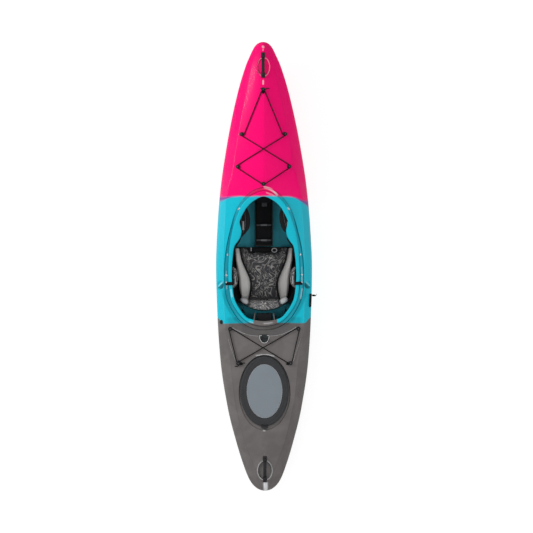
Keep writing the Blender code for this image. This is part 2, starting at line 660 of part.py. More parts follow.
def make_hull():
    shell = Shell()
    cockpit = steps_between(COCKPIT_FRONT, COCKPIT_REAR, COCKPIT_STEPS)
    hatch = steps_between(COCKPIT_REAR, HATCH_REAR, HATCH_STEPS)
    everywhere = BOW_STATIONS + cockpit + hatch[1:] + STERN_STATIONS
    for fore, aft in zip(everywhere, everywhere[1:]):
        shell.quads(shell.station(fore), shell.station(aft))
    for stretch in (BOW_STATIONS + [COCKPIT_FRONT], [HATCH_REAR] + STERN_STATIONS):
        for fore, aft in zip(stretch, stretch[1:]):
            shell.quads(shell.deck_row(fore), shell.deck_row(aft))
    for y in (everywhere[0], everywhere[-1]):
        bottom, deck = shell.station(y), shell.deck_row(y)
        end = [bottom[key] for key in sorted(bottom)]
        end += [deck[key] for key in sorted(deck, reverse=True)[1:-1]]
        shell.bm.faces.new(end)

    lip = half_curve(LIP_OUTLINE)
    hollow = half_curve(HOLLOW_OUTLINE)
    opening = half_curve(OPENING_OUTLINE)
    wall = inset(lip, WALL_INSET)
    edge = shell.boundary(cockpit)
    crease, shares = shell.crease_ring(cockpit)
    hollow_top = shell.place_ring(shares, hollow, deck_height)
    hollow_floor = shell.place_ring(shares, inset(hollow, 0.006),
                                    lambda x, y: lip_height(y) - LIP_STAND)
    wall_foot = shell.place_ring(shares, wall, lambda x, y: lip_height(y) - LIP_STAND)
    for outer, inner in ((edge, crease), (crease, hollow_top), (hollow_top, hollow_floor),
                         (hollow_floor, wall_foot)):
        shell.ring(outer, inner)

    hatch_edge = shell.boundary(hatch)
    hatch_crease, hatch_shares = shell.crease_ring(hatch)
    dish = half_ellipse(HATCH_HOLLOW_CENTRE, HATCH_HOLLOW)
    dish_top = shell.place_ring(hatch_shares, dish, deck_height)
    dish_floor = shell.place_ring(hatch_shares, inset(dish, 0.006),
                                  lambda x, y: HATCH_HOLLOW_HEIGHT)
    collar = half_ellipse(HATCH_CENTRE, HATCH_COLLAR)
    mouth = half_ellipse(HATCH_CENTRE, HATCH_OPENING)
    collar_foot = shell.place_ring(hatch_shares, collar, lambda x, y: HATCH_HOLLOW_HEIGHT)
    for outer, inner in ((hatch_edge, hatch_crease), (hatch_crease, dish_top),
                         (dish_top, dish_floor), (dish_floor, collar_foot)):
        shell.ring(outer, inner)

    inside = shell.inner_skin()

    lip_rings = [
        wall_foot,
        shell.place_ring(shares, wall, lambda x, y: lip_height(y) - LIP_THICK),
        shell.place_ring(shares, inset(lip, 0.001), lambda x, y: lip_height(y) - LIP_THICK - 0.002),
        shell.place_ring(shares, lip, lambda x, y: lip_height(y) - 0.003),
        shell.place_ring(shares, inset(lip, 0.009), lambda x, y: lip_height(y) + 0.001),
        shell.place_ring(shares, opening, lambda x, y: lip_height(y) - 0.001),
        shell.place_ring(shares, opening, lambda x, y: lip_height(y) - LIP_THICK),
        shell.place_ring(shares, inset(lip, WALL_INSET + COAMING_WALL),
                         lambda x, y: lip_height(y) - LIP_THICK - 0.001),
        shell.place_ring(shares, inset(lip, WALL_INSET + COAMING_WALL),
                         lambda x, y: lip_height(y) - LIP_STAND - WALL),
        [inside[vert] for vert in wall_foot],
    ]
    for outer, inner in zip(lip_rings, lip_rings[1:]):
        shell.ring(outer, inner)
    collar_rings = [
        collar_foot,
        shell.place_ring(hatch_shares, collar, lambda x, y: HATCH_COLLAR_TOP),
        shell.place_ring(hatch_shares, mouth, lambda x, y: HATCH_COLLAR_TOP),
        shell.place_ring(hatch_shares, mouth, lambda x, y: HATCH_HOLLOW_HEIGHT - WALL),
        [inside[vert] for vert in collar_foot],
    ]
    for outer, inner in zip(collar_rings, collar_rings[1:]):
        shell.ring(outer, inner)
    hull = finish_object(shell.bm, "hull_shell", MOULDED, rounded=35)

    for side, sign in PORT_AND_STARBOARD.items():
        faces = sorted(sign * face for face in WEB_FACES)
        web = extruded(f"web_{side}", WEB_PROFILE, faces[1] - faces[0],
                       Matrix(((0, 0, 1, faces[0]), (1, 0, 0, 0), (0, 1, 0, 0), (0, 0, 0, 1))),
                       MOULDED)
        cut(hull, web, "UNION")
    slot = block("skeg_slot", (-SKEG_SLOT_HALF, SKEG_SLOT[0], -0.02),
                 (SKEG_SLOT_HALF, SKEG_SLOT[1], 0.075), MOULDED)
    cut(hull, slot)
    for side, sign in PORT_AND_STARBOARD.items():
        x, y = sign * BRACE_BOLT[0], BRACE_BOLT[1]
        top = lip_height(y) - LIP_STAND
        cut(hull, cutting_cylinder(f"brace_hole_{side}", (x, y, top - 0.02), (x, y, top + 0.01),
                                   BRACE_BORE, 8))
    drain = deck_frame(*DRAIN_PLACE)
    cut(hull, cutting_cylinder("drain_hole", drain @ Vector((0, 0, -0.02)),
                               drain @ Vector((0, 0, 0.02)), DRAIN_RADIUS + 0.001))
    line = skeg_line_frame()
    cut(hull, cutting_cylinder("skeg_line_hole", line @ Vector((0, 0, -0.02)),
                               line @ Vector((0, 0, 0.02)), SKEG_TUBE_RADIUS + 0.0004, 8))
    return hull


# Hatch

def ellipse_at(axes, height, count, turn=0.0):
    """Ring of corners of an ellipse round the hatch's centre."""
    corners = []
    for i in range(count):
        angle = 2 * math.pi * (i + turn) / count
        corners.append((axes[0] * math.sin(angle), HATCH_CENTRE + axes[1] * math.cos(angle), height))
    return corners


def lofted(name, rings, look, rounded=40):
    """Closed solid through rings of as many corners each, its first and last ring filled."""
    bm = bmesh.new()
    loops = [[bm.verts.new(place) for place in ring] for ring in rings]
    for first, second in zip(loops, loops[1:]):
        for i in range(len(first)):
            bm.faces.new((first[i - 1], first[i], second[i], second[i - 1]))
    bm.faces.new(loops[0])
    bm.faces.new(loops[-1])
    return finish_object(bm, name, look, rounded)


def shrunk(axes, by):
    return (axes[0] - by, axes[1] - by)


def make_hatch():
    count = 40
    rim = 0.006
    floor = HATCH_HOLLOW_HEIGHT + 0.0012
    lid = lofted("hatch_lid", [
        ellipse_at(shrunk(HATCH_LID, rim), HATCH_COLLAR_TOP + GAP, count),
        ellipse_at(shrunk(HATCH_LID, rim), floor, count),
        ellipse_at(shrunk(HATCH_LID, 0.001), floor, count),
        ellipse_at(HATCH_LID, floor + 0.006, count),
        ellipse_at(shrunk(HATCH_LID, 0.005), HATCH_LID_TOP + 0.001, count),
        ellipse_at(shrunk(HATCH_LID, 0.012), HATCH_LID_TOP + 0.002, count),
        ellipse_at(HATCH_PANEL, HATCH_LID_TOP, count),
    ], BLACK_RUBBER)
    tab = [(-0.022, -0.222), (-0.020, -0.240), (0.0, -0.247), (0.020, -0.240), (0.022, -0.222)]
    pull = extruded("lid_tab", [(x, HATCH_CENTRE + y) for x, y in tab], 0.005,
                    Matrix.Translation((0, 0, floor + 0.004)), BLACK_RUBBER)
    cut(lid, pull, "UNION")
    panel = lofted("hatch_panel", [
        ellipse_at(shrunk(HATCH_PANEL, 0.002), HATCH_LID_TOP + GAP, 32),
        ellipse_at(shrunk(HATCH_PANEL, 0.002), HATCH_LID_TOP + 0.002, 32),
        ellipse_at(shrunk(HATCH_PANEL, 0.005), HATCH_LID_TOP + 0.003, 32),
    ], GREY_PANEL)
    on_axis("hatch_lift", (0, HATCH_CENTRE, HATCH_HOLLOW_HEIGHT), [lid, panel])


# Carry handles

def make_handle(name, front, rear):
    """Ribbed grip arched between two blocks on the deck's centre line."""
    width, long, high = HANDLE_BLOCK
    centres = {"front": front - long / 2, "rear": rear + long / 2}
    ends = []
    for end, y in centres.items():
        frame = deck_frame(0.0, y)
        block(f"{name}_block_{end}", (-width / 2, -long / 2, 0.001),
              (width / 2, long / 2, high), BLACK_RUBBER, chamfer=0.003, place=frame)
        ends.append(frame @ Vector((0, (-1 if end == "front" else 1) * (long / 2 + 0.0013), 0.009)))
    rings = []
    steps = 2 * HANDLE_RIBS
    for i in range(steps + 1):
        t = i / steps
        place = ends[0].lerp(ends[1], t)
        rise = (HANDLE_ARCH - 0.009) * math.sin(math.pi * t) ** 0.9
        swell = 1.0 if i % 2 else 0.88
        half = HANDLE_GRIP[0] / 2 * swell
        thick = HANDLE_GRIP[1] / 2 * swell
        rings.append([(half * x, place.y, place.z + rise + thick * z)
                      for x, z in ((1, 0.45), (0.6, 1), (-0.6, 1), (-1, 0.45), (-1, -0.45),
                                   (-0.6, -1), (0.6, -1), (1, -0.45))])
    lofted(f"{name}_grip", rings, BLACK_RUBBER, rounded=30)


# Deck fittings and elastic cords

def make_eye(name, x, y):
    """Round deck fitting: a base, a neck that the cord goes round, and a domed head."""
    head = EYE_RADIUS - 0.0015
    top_of_base = EYE_BASE + 0.001
    under_head = EYE_HEIGHT - 0.0035
    profile = [(0, 0.001), (EYE_RADIUS, 0.001), (EYE_RADIUS, top_of_base), (EYE_NECK, top_of_base),
               (EYE_NECK, under_head), (head, under_head), (head - 0.002, EYE_HEIGHT),
               (0, EYE_HEIGHT)]
    turned(name, profile, 12, deck_frame(x, y), BLACK_PLASTIC)


def cord_round(eye, before, after):
    """Points where the cord goes round an eye's neck, from past the base on either side."""
    centre = Vector(eye)
    away = -((Vector(before) - centre).normalized() + (Vector(after) - centre).normalized())
    away = away.normalized() * 1.3 * (EYE_NECK + CORD_RADIUS)
    frame = deck_frame(*eye)
    height = EYE_BASE + 0.001 + CORD_RADIUS + 0.0008
    across = Vector((away.y, -away.x))
    if across.dot(Vector(before) - centre) < 0:
        across = -across
    places = [across * 0.9 + away * 0.35, away, -across * 0.9 + away * 0.35]
    clear = EYE_RADIUS + 2 * CORD_RADIUS
    places.insert(0, places[0] + (Vector(before) - centre).normalized() * clear)
    places.append(places[-1] + (Vector(after) - centre).normalized() * clear)
    return [frame @ Vector((p.x, p.y, height)) for p in places]


def deck_cord(name, stops, raised):
    """Elastic cord round the eyes in turn; raised legs pass over the cord they cross."""
    points = []
    previous = None
    for index, stop in enumerate(stops):
        before = stops[index - 1] if index else stops[1]
        after = stops[index + 1] if index + 1 < len(stops) else stops[-2]
        turn = cord_round(stop, before, after)
        if previous is not None:
            start, end = previous[-1], turn[0]
            shares = [step / 6 for step in range(1, 6)]
            if start.x * end.x < 0:
                shares[2] = start.x / (start.x - end.x)
            for share in shares:
                place = start.lerp(end, share)
                rest = deck_height(place.x, place.y) + CORD_RADIUS + 0.0012
                hump = 0.0
                if index in raised:
                    hump = 0.0062 * math.exp(-(place.x / 0.035) ** 2)
                points.append(Vector((place.x, place.y, max(place.z, rest) + hump)))
        points.extend(turn)
        previous = turn
    return cord(name, points, CORD_RADIUS, BLACK_CORD)


def make_deck_fittings():
    for name, (x, y) in BOW_EYES.items():
        if x == 0:
            make_eye(f"bow_eye_{name}", x, y)
        else:
            make_eye(f"bow_eye_{name}_port", -x, y)
            make_eye(f"bow_eye_{name}_starboard", x, y)
    for name, (x, y) in STERN_EYES.items():
        make_eye(f"stern_eye_{name}_port", -x, y)
        make_eye(f"stern_eye_{name}_starboard", x, y)

    top, bottom = BOW_EYES["top"], BOW_EYES["bottom"]
    upper, lower = BOW_EYES["upper"], BOW_EYES["lower"]
    upper_port, lower_port = mirrored([upper, lower])
    start = (top[0] - 0.012, top[1] - 0.014)
    finish = (top[0] + 0.012, top[1] - 0.014)
    route = [upper_port, lower, bottom, lower_port, upper]
    bow = deck_cord("bow_deck_cord", route, raised=(4,))
    add_ends(bow, start, finish)
    front, rear = STERN_EYES["front"], STERN_EYES["rear"]
    front_port, rear_port = mirrored([front, rear])
    deck_cord("stern_deck_cord", [rear_port, front_port, rear, front, rear_port], raised=(4,))


def add_ends(body, start, finish):
    """Carry a cord's two ends on to the knot at the top fitting."""
    spline = body.data.splines[0]
    inner = [Vector(point.co[:3]) for point in spline.points]
    body.data.splines.clear()
    route = []
    for plan, end in ((start, inner[0]), (finish, inner[-1])):
        leg = []
        for step in range(6):
            place = Vector((*plan, 0)).lerp(end, step / 6)
            leg.append(Vector((place.x, place.y,
                               deck_height(place.x, place.y) + CORD_RADIUS + 0.003)))
        route.append(leg)
    points = route[0] + inner + list(reversed(route[1]))
    whole = body.data.splines.new("POLY")
    whole.points.add(len(points) - 1)
    for point, place in zip(whole.points, points):
        point.co = (*place, 1)


def make_security_bar():
    frame = deck_frame(0.0, SECURITY_BAR_PLACE)
    upright = Matrix.Rotation(math.radians(90), 4, "X")
    upright = upright @ Matrix.Translation((0, 0, -SECURITY_BAR_DEEP / 2))
    extruded("security_bar", SECURITY_BAR_SECTION, SECURITY_BAR_DEEP, frame @ upright, STEEL)


def make_drain_plug():
    profile = [(0, -0.012), (DRAIN_RADIUS, -0.012), (DRAIN_RADIUS, 0.0025), (DRAIN_HEAD, 0.0025),
               (DRAIN_HEAD, 0.006), (DRAIN_HEAD - 0.002, 0.008), (0, 0.008)]
    frame = deck_frame(*DRAIN_PLACE)
    plug = turned("drain_plug", profile, 12, frame, BLACK_PLASTIC)
    on_axis("drain_axis", frame.translation, [plug])


# Skeg

def side_profile(points, x_low, x_high, name, look):
    """Outline in the boat's (y, z) plane, pushed from one x to another."""
    to_boat = Matrix(((0, 0, 1, x_low), (1, 0, 0, 0), (0, 1, 0, 0), (0, 0, 0, 1)))
    return extruded(name, points, x_high - x_low, to_boat, look)


def skeg_line_frame():
    """Frame of the hole that the skeg's line leaves by: Z outwards, square to the side deck."""
    return deck_frame(*SKEG_LINE_PLACE)


def make_skeg():
    pivot = Vector(SKEG_PIVOT)
    half = SKEG_BLADE_THICK / 2
    blade = side_profile(SKEG_BLADE_OUTLINE, -half, half, "skeg_blade", BLACK_PLASTIC)
    reach = Vector((0.05, 0, 0))
    cut(blade, cutting_cylinder("blade_bore", pivot - reach, pivot + reach,
                                SKEG_PIN_RADIUS + 0.0004, 10))

    front, rear = SKEG_SLOT[1] + SKEG_BOX_MARGIN, SKEG_SLOT[0] - SKEG_BOX_MARGIN
    places = steps_between(rear, front, 6)
    floor = [(y, smooth(KEEL_HEIGHT, y) + WALL + 0.001) for y in places]
    box_outline = floor + [(front, SKEG_BOX_TOP), (rear, SKEG_BOX_TOP)]
    box = side_profile(box_outline, -SKEG_BOX_HALF, SKEG_BOX_HALF, "skeg_box", MOULDED)
    cavity = block("box_cavity", (-SKEG_BOX_BORE_HALF, rear + SKEG_BOX_WALL, -0.05),
                   (SKEG_BOX_BORE_HALF, front - SKEG_BOX_WALL, SKEG_BOX_TOP - SKEG_BOX_WALL),
                   MOULDED)
    cut(box, cavity)
    cut(box, cutting_cylinder("box_bore", pivot - reach, pivot + reach,
                              SKEG_PIN_RADIUS + 0.0004, 10))
    pin_length = 2 * SKEG_BOX_HALF + 0.004
    turn = Matrix.Translation(pivot - Vector((pin_length / 2, 0, 0)))
    turn = turn @ Matrix.Rotation(math.radians(90), 4, "Y")
    turned("skeg_pin", [(0, 0), (SKEG_PIN_RADIUS, 0), (SKEG_PIN_RADIUS, pin_length),
                        (0, pin_length)], 10, turn, STEEL)
    on_axis("skeg_axis", pivot, [blade])

    line = skeg_line_frame()
    start = Vector((0, front + 2 * GAP, SKEG_LINE_ROUTE[0][2]))
    straight = [line @ Vector((0, 0, -depth)) for depth in SKEG_LINE_DEPTHS]
    make_tube("skeg_line_tube", [start] + through(SKEG_LINE_ROUTE, 3) + straight)

    along = CLEAT_SPAN[1] - CLEAT_SPAN[0]
    middle = sum(CLEAT_SPAN) / 2
    seat = deck_frame(SKEG_LINE_PLACE[0], middle)
    lengthwise = Matrix.Rotation(math.radians(90), 4, "X") @ Matrix.Translation((0, 0, -along / 2))
    cleat = extruded("skeg_cleat", CLEAT_SECTION, along, seat @ lengthwise, BLACK_PLASTIC)
    cut(cleat, cutting_cylinder("cleat_bore", line @ Vector((0, 0, -0.01)),
                                line @ Vector((0, 0, 0.03)), SKEG_LINE_RADIUS + 0.0006, 8))
    low, high = TOGGLE_SPAN
    grip = [(SKEG_LINE_RADIUS + GAP, low), (0.0055, low), (0.0065, low + 0.006),
            (0.0065, high - 0.006), (0.0055, high), (SKEG_LINE_RADIUS + GAP, high)]
    toggle = turned("skeg_toggle", grip, 10, line, BLACK_PLASTIC)
    run = [line @ Vector((0, 0, z)) for z in (-0.048, -0.03, 0.0, 0.02, 0.043)]
    run += [line @ Vector((0.001, 0.004, 0.049)), line @ Vector((0.002, 0.009, 0.053))]
    toggle_cord = cord("skeg_toggle_cord", run, SKEG_LINE_RADIUS, LIGHT_PLASTIC)
    on_axis("skeg_pull", line.translation, [toggle, toggle_cord])


def make_tube(name, route):
    """Hollow tube along a route: outer and inner rings, joined at both ends."""
    sides = 8
    bm = bmesh.new()
    walls = {SKEG_TUBE_RADIUS: [], SKEG_TUBE_BORE: []}
    right = Vector((1, 0, 0))
    for index, place in enumerate(route):
        ahead = route[min(index + 1, len(route) - 1)]
        behind = route[max(index - 1, 0)]
        along = (ahead - behind).normalized()
        right = (right - along * right.dot(along)).normalized()
        up = along.cross(right)
        for radius, rings in walls.items():
            ring = []
            for side in range(sides):
                angle = 2 * math.pi * side / sides
                offset = right * math.cos(angle) + up * math.sin(angle)
                ring.append(bm.verts.new(place + offset * radius))
            rings.append(ring)
    outer, inner = walls[SKEG_TUBE_RADIUS], walls[SKEG_TUBE_BORE]
    pairs = list(zip(outer, outer[1:])) + list(zip(inner, inner[1:]))
    pairs += [(outer[0], inner[0]), (outer[-1], inner[-1])]
    for first, second in pairs:
        for i in range(sides):
            j = (i + 1) % sides
            bm.faces.new((first[i], first[j], second[j], second[i]))
    return finish_object(bm, name, BLACK_PLASTIC, rounded=50)


# Seat and backband

def pan_width(y):
    return smooth(PAN_WIDTH, y)


def pan_form(x):
    """Height of the pan's section at a half width, along straight runs."""
    for low, high in zip(PAN_FORM, PAN_FORM[1:]):
        if x <= high[0]:
            return low[1] + (high[1] - low[1]) * (x - low[0]) / (high[0] - low[0])
    return PAN_FORM[-1][1]


def pan_surface(x, y):
    """Height of the seat pan's upper face."""
    return pan_form(abs(x) / pan_width(y))


def make_seat_pan():
    last = len(PAN_CORNERS)

    def upper(u, v):
        y = PAN_STATIONS[round(v * (len(PAN_STATIONS) - 1))]
        side = 1 if u > 0.5 else -1
        index = round(abs(2 * u - 1) * last)
        top = smooth(PAN_WING_TOP, y)
        if index == last:
            return Vector((side * PAN_RIM * pan_width(y), y, top))
        x = PAN_CORNERS[index]
        return Vector((side * x * pan_width(y), y, min(pan_form(x), top - PAN_THICK)))

    def lower(u, v):
        index = round(abs(2 * u - 1) * last)
        side = 1 if u > 0.5 else -1
        across, down = side * PAN_OUTWARD[index], PAN_DOWNWARD[index]
        return upper(u, v) + PAN_THICK * Vector((across, 0, -down))

    slab("seat_pan", upper, lower, 2 * last, len(PAN_STATIONS) - 1, BLACK_PLASTIC)


def crown(u, v, edge=0.35):
    """1 over the middle of a cushion, falling to edge along its sides."""
    round_off = (1 - abs(2 * u - 1) ** 4) * (1 - abs(2 * v - 1) ** 6)
    return edge + (1 - edge) * math.sqrt(max(0.0, round_off))


def cushion_surfaces(left, right, top, tuck=0.0025):
    """Upper and lower surface of a pad on the pan between two edges given over y."""
    def place(u, v, shrink):
        y = SEAT_REAR + 0.003 + (SEAT_FRONT - SEAT_REAR - 0.006) * v
        low, high = left(y) + shrink, right(y) - shrink
        return low + (high - low) * u, y

    def upper(u, v):
        x, y = place(u, v, tuck * (1 - crown(u, v, 0.0)))
        floor = pan_surface(x, y) + 0.004
        return Vector((x, y, floor + (max(top(x, y), floor + 0.008) - floor) * crown(u, v)))

    def lower(u, v):
        x, y = place(u, v, tuck)
        return Vector((x, y, pan_surface(x, y) + 0.002))

    return upper, lower


def make_cushions():
    def centre_top(x, y):
        return smooth(CUSHION_TOP, y) + CUSHION_DISH * (x / CUSHION_HALF[-1][1]) ** 2

    upper, lower = cushion_surfaces(lambda y: -smooth(CUSHION_HALF, y),
                                    lambda y: smooth(CUSHION_HALF, y), centre_top)
    slab("seat_cushion_centre", upper, lower, 8, 9, PRINTED_CLOTH)

    def bolster_top(x, y):
        inner, outer = smooth(CUSHION_HALF, y), smooth(BOLSTER_HALF, y)
        share = min(max((abs(x) - inner) / (outer - inner), 0.0), 1.0)
        return centre_top(inner, y) * (1 - share) + smooth(BOLSTER_TOP, y) * share

    for side, sign in PORT_AND_STARBOARD.items():
        def near(y):
            return sign * (smooth(CUSHION_HALF, y) + 0.001)

        def far(y):
            return sign * smooth(BOLSTER_HALF, y)

        edges = (near, far) if sign > 0 else (far, near)
        upper, lower = cushion_surfaces(*edges, bolster_top)
        slab(f"seat_bolster_{side}", upper, lower, 6, 9, GREY_CLOTH)

        def pad_face(u, v):
            bulge = crown(u, v, 0.3)
            y = HIP_PAD_SPAN[0] + (HIP_PAD_SPAN[1] - HIP_PAD_SPAN[0]) * u
            z = HIP_PAD_HEIGHTS[0] + (HIP_PAD_HEIGHTS[1] - HIP_PAD_HEIGHTS[0]) * v
            return Vector((sign * (HIP_PAD_BACK - (HIP_PAD_BACK - HIP_PAD_FACE) * bulge), y, z))

        def pad_back(u, v):
            face = pad_face(u, v)
            return Vector((sign * HIP_PAD_BACK, face.y, face.z))

        slab(f"hip_pad_{side}", pad_face, pad_back, 6, 5, PRINTED_CLOTH)
        low, high = sorted(sign * face for face in HIP_BUCKLE_SIDES)
        rear, front = HIP_BUCKLE_SPAN
        block(f"hip_pad_buckle_{side}", (low, rear, HIP_PAD_HEIGHTS[1] + GAP),
              (high, front, HIP_PAD_HEIGHTS[1] + 0.006), LIGHT_PLASTIC, chamfer=0.0015)


def make_leg_lifter():
    """Strap across the notch in the seat's front edge."""
    block("leg_lifter_strap", *LIFTER_STRAP, BLACK_PLASTIC, chamfer=0.0008)


def band_point(axes, angle, z):
    return Vector((axes[0] * math.sin(angle), BAND_CENTRE - axes[1] * math.cos(angle), z))


def make_backband():
    low, high = BAND_HEIGHTS
    inner = shrunk(BAND_OUTER, BAND_SHELL)

    def band_height(angle, v):
        """Height on the band, which narrows to a tab at each pivot."""
        share = (abs(angle) / BAND_HALF_ANGLE) ** 4
        foot = low + (BAND_PIVOT[2] - BAND_TAB / 2 - low) * share
        top = high + (BAND_PIVOT[2] + BAND_TAB / 2 - high) * share
        return foot + (top - foot) * v

    def shell_face(axes):
        def surface(u, v):
            angle = BAND_HALF_ANGLE * (2 * u - 1)
            return band_point(axes, angle, band_height(angle, v))
        return surface

    shell = slab("backband_shell", shell_face(BAND_OUTER), shell_face(inner), 18, 2, BLACK_PLASTIC)
    bodies = [shell]

    def pad(name, start, end, thick, look, across):
        back = shrunk(inner, 0.0008)

        def rear(u, v):
            angle = start + (end - start) * u
            return band_point(back, angle, band_height(angle, 0.04 + 0.92 * v))

        def front(u, v):
            angle = start + (end - start) * u
            share = thick(u) * crown(0.5, v, 0.3)
            axes = (back[0] - BAND_PAD_THICK[0] * share, back[1] - BAND_PAD_THICK[1] * share)
            return band_point(axes, angle, band_height(angle, 0.04 + 0.92 * v))

        return slab(name, front, rear, across, 4, look)

    seam = math.radians(0.6)
    bodies.append(pad("backband_pad_centre", -BAND_PAD_ANGLE, BAND_PAD_ANGLE,
                      lambda u: 0.80 + 0.20 * math.sin(math.pi * u) ** 0.5, PRINTED_CLOTH, 10))
    for side, sign in PORT_AND_STARBOARD.items():
        start, end = sign * (BAND_PAD_ANGLE + seam), sign * BAND_WEDGE_ANGLE
        bodies.append(pad(f"backband_wedge_{side}", start, end,
                          lambda u: 0.88 - 0.62 * u, GREY_CLOTH, 5))
    on_axis("backband_axis", BAND_PIVOT, bodies)


# Thigh braces and foot braces

def half_plain(points):
    """Share of the way to a point on the smooth curve through plan points."""
    route = through([(x, y, 0) for x, y in points], 6)

    def at(share):
        place = min(max(share, 0.0), 1.0) * (len(route) - 1)
        index = min(int(place), len(route) - 2)
        return route[index].lerp(route[index + 1], place - index).to_2d()

    return at


def make_thigh_braces():
    outer = half_plain(BRACE_OUTER)
    inner = half_plain(BRACE_INNER)
    for side, sign in PORT_AND_STARBOARD.items():
        turn_point = Vector((*BRACE_BOLT, 0))
        turn = (Matrix.Translation(turn_point) @ Matrix.Rotation(-BRACE_TURN[side], 4, "Z")
                @ Matrix.Translation(-turn_point))

        def surface(z_edge, z_middle):
            def at(u, v):
                plan = inner(v).lerp(outer(v), u)
                rise = z_edge + (z_middle - z_edge) * crown(u, v, 0.0)
                place = turn @ Vector((plan.x, plan.y, rise))
                return Vector((sign * place.x, place.y, place.z))
            return at

        low, high = BRACE_HEIGHTS
        brace = slab(f"thigh_brace_{side}", surface(high - 0.004, high),
                     surface(low + 0.004, low), 5, 8, BLACK_FOAM)
        x, y = sign * BRACE_BOLT[0], BRACE_BOLT[1]
        cut(brace, cutting_cylinder(f"brace_bore_{side}", (x, y, low - 0.01), (x, y, high + 0.01),
                                    BRACE_BORE, 8))
        floor = lip_height(y) - LIP_STAND
        bolt = [(0, low + 0.004), (0.003, low + 0.004), (0.003, floor + 0.0018),
                (0.006, floor + 0.0018), (0.005, floor + 0.005), (0, floor + 0.005)]
        turned(f"thigh_brace_bolt_{side}", bolt, 10, Matrix.Translation((x, y, 0)), STEEL)
        centre = turn @ Vector((*BRACE_PLATE_PLACE, 0))
        width, long, thick = BRACE_PLATE
        plate = block(f"thigh_brace_plate_{side}",
                      (sign * centre.x - width / 2, centre.y - long / 2, high + GAP),
                      (sign * centre.x + width / 2, centre.y + long / 2, high + thick),
                      LIGHT_PLASTIC, chamfer=0.0015)
        on_axis(f"thigh_brace_axis_{side}", (x, y, high), [brace, plate])


def rail_frame(sign):
    """Frame of a foot rail: Y along it towards the bow, X towards the middle of the boat."""
    start, end = (Vector((sign * x, y, RAIL_HEIGHT)) for x, y in RAIL_ENDS)
    along = (end - start).normalized()
    up = Vector((0, 0, 1))
    inward = Vector((-sign * along.y, sign * along.x, 0))
    turn = Matrix((inward, along, up)).transposed().to_4x4()
    return Matrix.Translation(start) @ turn, (end - start).length


def make_foot_braces():
    thick, tall = RAIL_SECTION
    for side, sign in PORT_AND_STARBOARD.items():
        frame, length = rail_frame(sign)
        foot, run = RAIL_FOOT
        plan = [(0, 0), (thick, 0), (thick, length), (0, length), (-foot, length),
                (-foot, length - run), (0, length - run), (0, run), (-foot, run), (-foot, 0)]
        extruded(f"foot_rail_{side}", plan, tall, frame @ Matrix.Translation((0, 0, -tall / 2)),
                 BLACK_PLASTIC)
        play, jaw = PEDAL_PLAY, PEDAL_JAW
        half = tall / 2 + play
        section = [(play, half), (thick + play, half), (thick + play, -half), (play, -half),
                   (play, -half - jaw), (thick + play + jaw, -half - jaw),
                   (thick + play + jaw, half + jaw), (play, half + jaw)]
        upright = Matrix.Rotation(math.radians(90), 4, "X")
        front = PEDAL_ALONG + PEDAL_CARRIAGE
        carriage = extruded(f"foot_pedal_{side}", section, PEDAL_CARRIAGE,
                            frame @ Matrix.Translation((0, front, 0)) @ upright, BLACK_PLASTIC)
        width, deep, high = PEDAL_SIZE
        start = thick + play + jaw - 0.001
        tread = block(f"pedal_tread_{side}", (start, front - deep, PEDAL_FOOT),
                      (start + width, front, PEDAL_FOOT + high), BLACK_PLASTIC, place=frame)
        cut(carriage, tread, "UNION")
        on_axis(f"pedal_slide_{side}", frame @ Vector((0, PEDAL_ALONG, 0)), [carriage])


# Pillars, tray, bulkhead and straps

def make_pillars():
    low, high = TRAY_SPAN
    rail_in = TRAY_HALF - 0.005
    tray = block("pillar_tray", (-TRAY_HALF, low, TRAY_FLOOR),
                 (TRAY_HALF, high, TRAY_FLOOR + TRAY_PLATE), BLACK_PLASTIC)
    for side, sign in PORT_AND_STARBOARD.items():
        near, far = sorted((sign * rail_in, sign * TRAY_HALF))
        rail = block(f"tray_rail_{side}", (near, low, TRAY_FLOOR), (far, high, TRAY_RAIL_TOP),
                     BLACK_PLASTIC)
        cut(tray, rail, "UNION")
    under, over = TRAY_RUNG_HEIGHTS
    for index, y in enumerate(TRAY_RUNGS + (low + 0.005,)):
        rung = block(f"tray_rung_{index}", (-TRAY_HALF + 0.001, y - 0.005, under),
                     (TRAY_HALF - 0.001, y + 0.005, over), BLACK_PLASTIC)
        cut(tray, rung, "UNION")

    places = steps_between(*PILLAR_SPAN, 6)
    roof = [(y, deck_height(PILLAR_HALF, y) - WALL - 0.004) for y in places[1:]]
    base = [(y, smooth(KEEL_HEIGHT, y) + WALL + 0.0016) for y in reversed(places)]
    side_profile(PILLAR_FOOT + roof + base + PILLAR_HEEL, -PILLAR_HALF, PILLAR_HALF,
                 "bow_pillar", BLACK_FOAM)

    rear, front = STERN_PILLAR_SPAN
    block("stern_pillar", (-STERN_PILLAR_HALF, rear, TRAY_FLOOR),
          (STERN_PILLAR_HALF, front, STERN_PILLAR_TOP), BLACK_FOAM, chamfer=0.004)


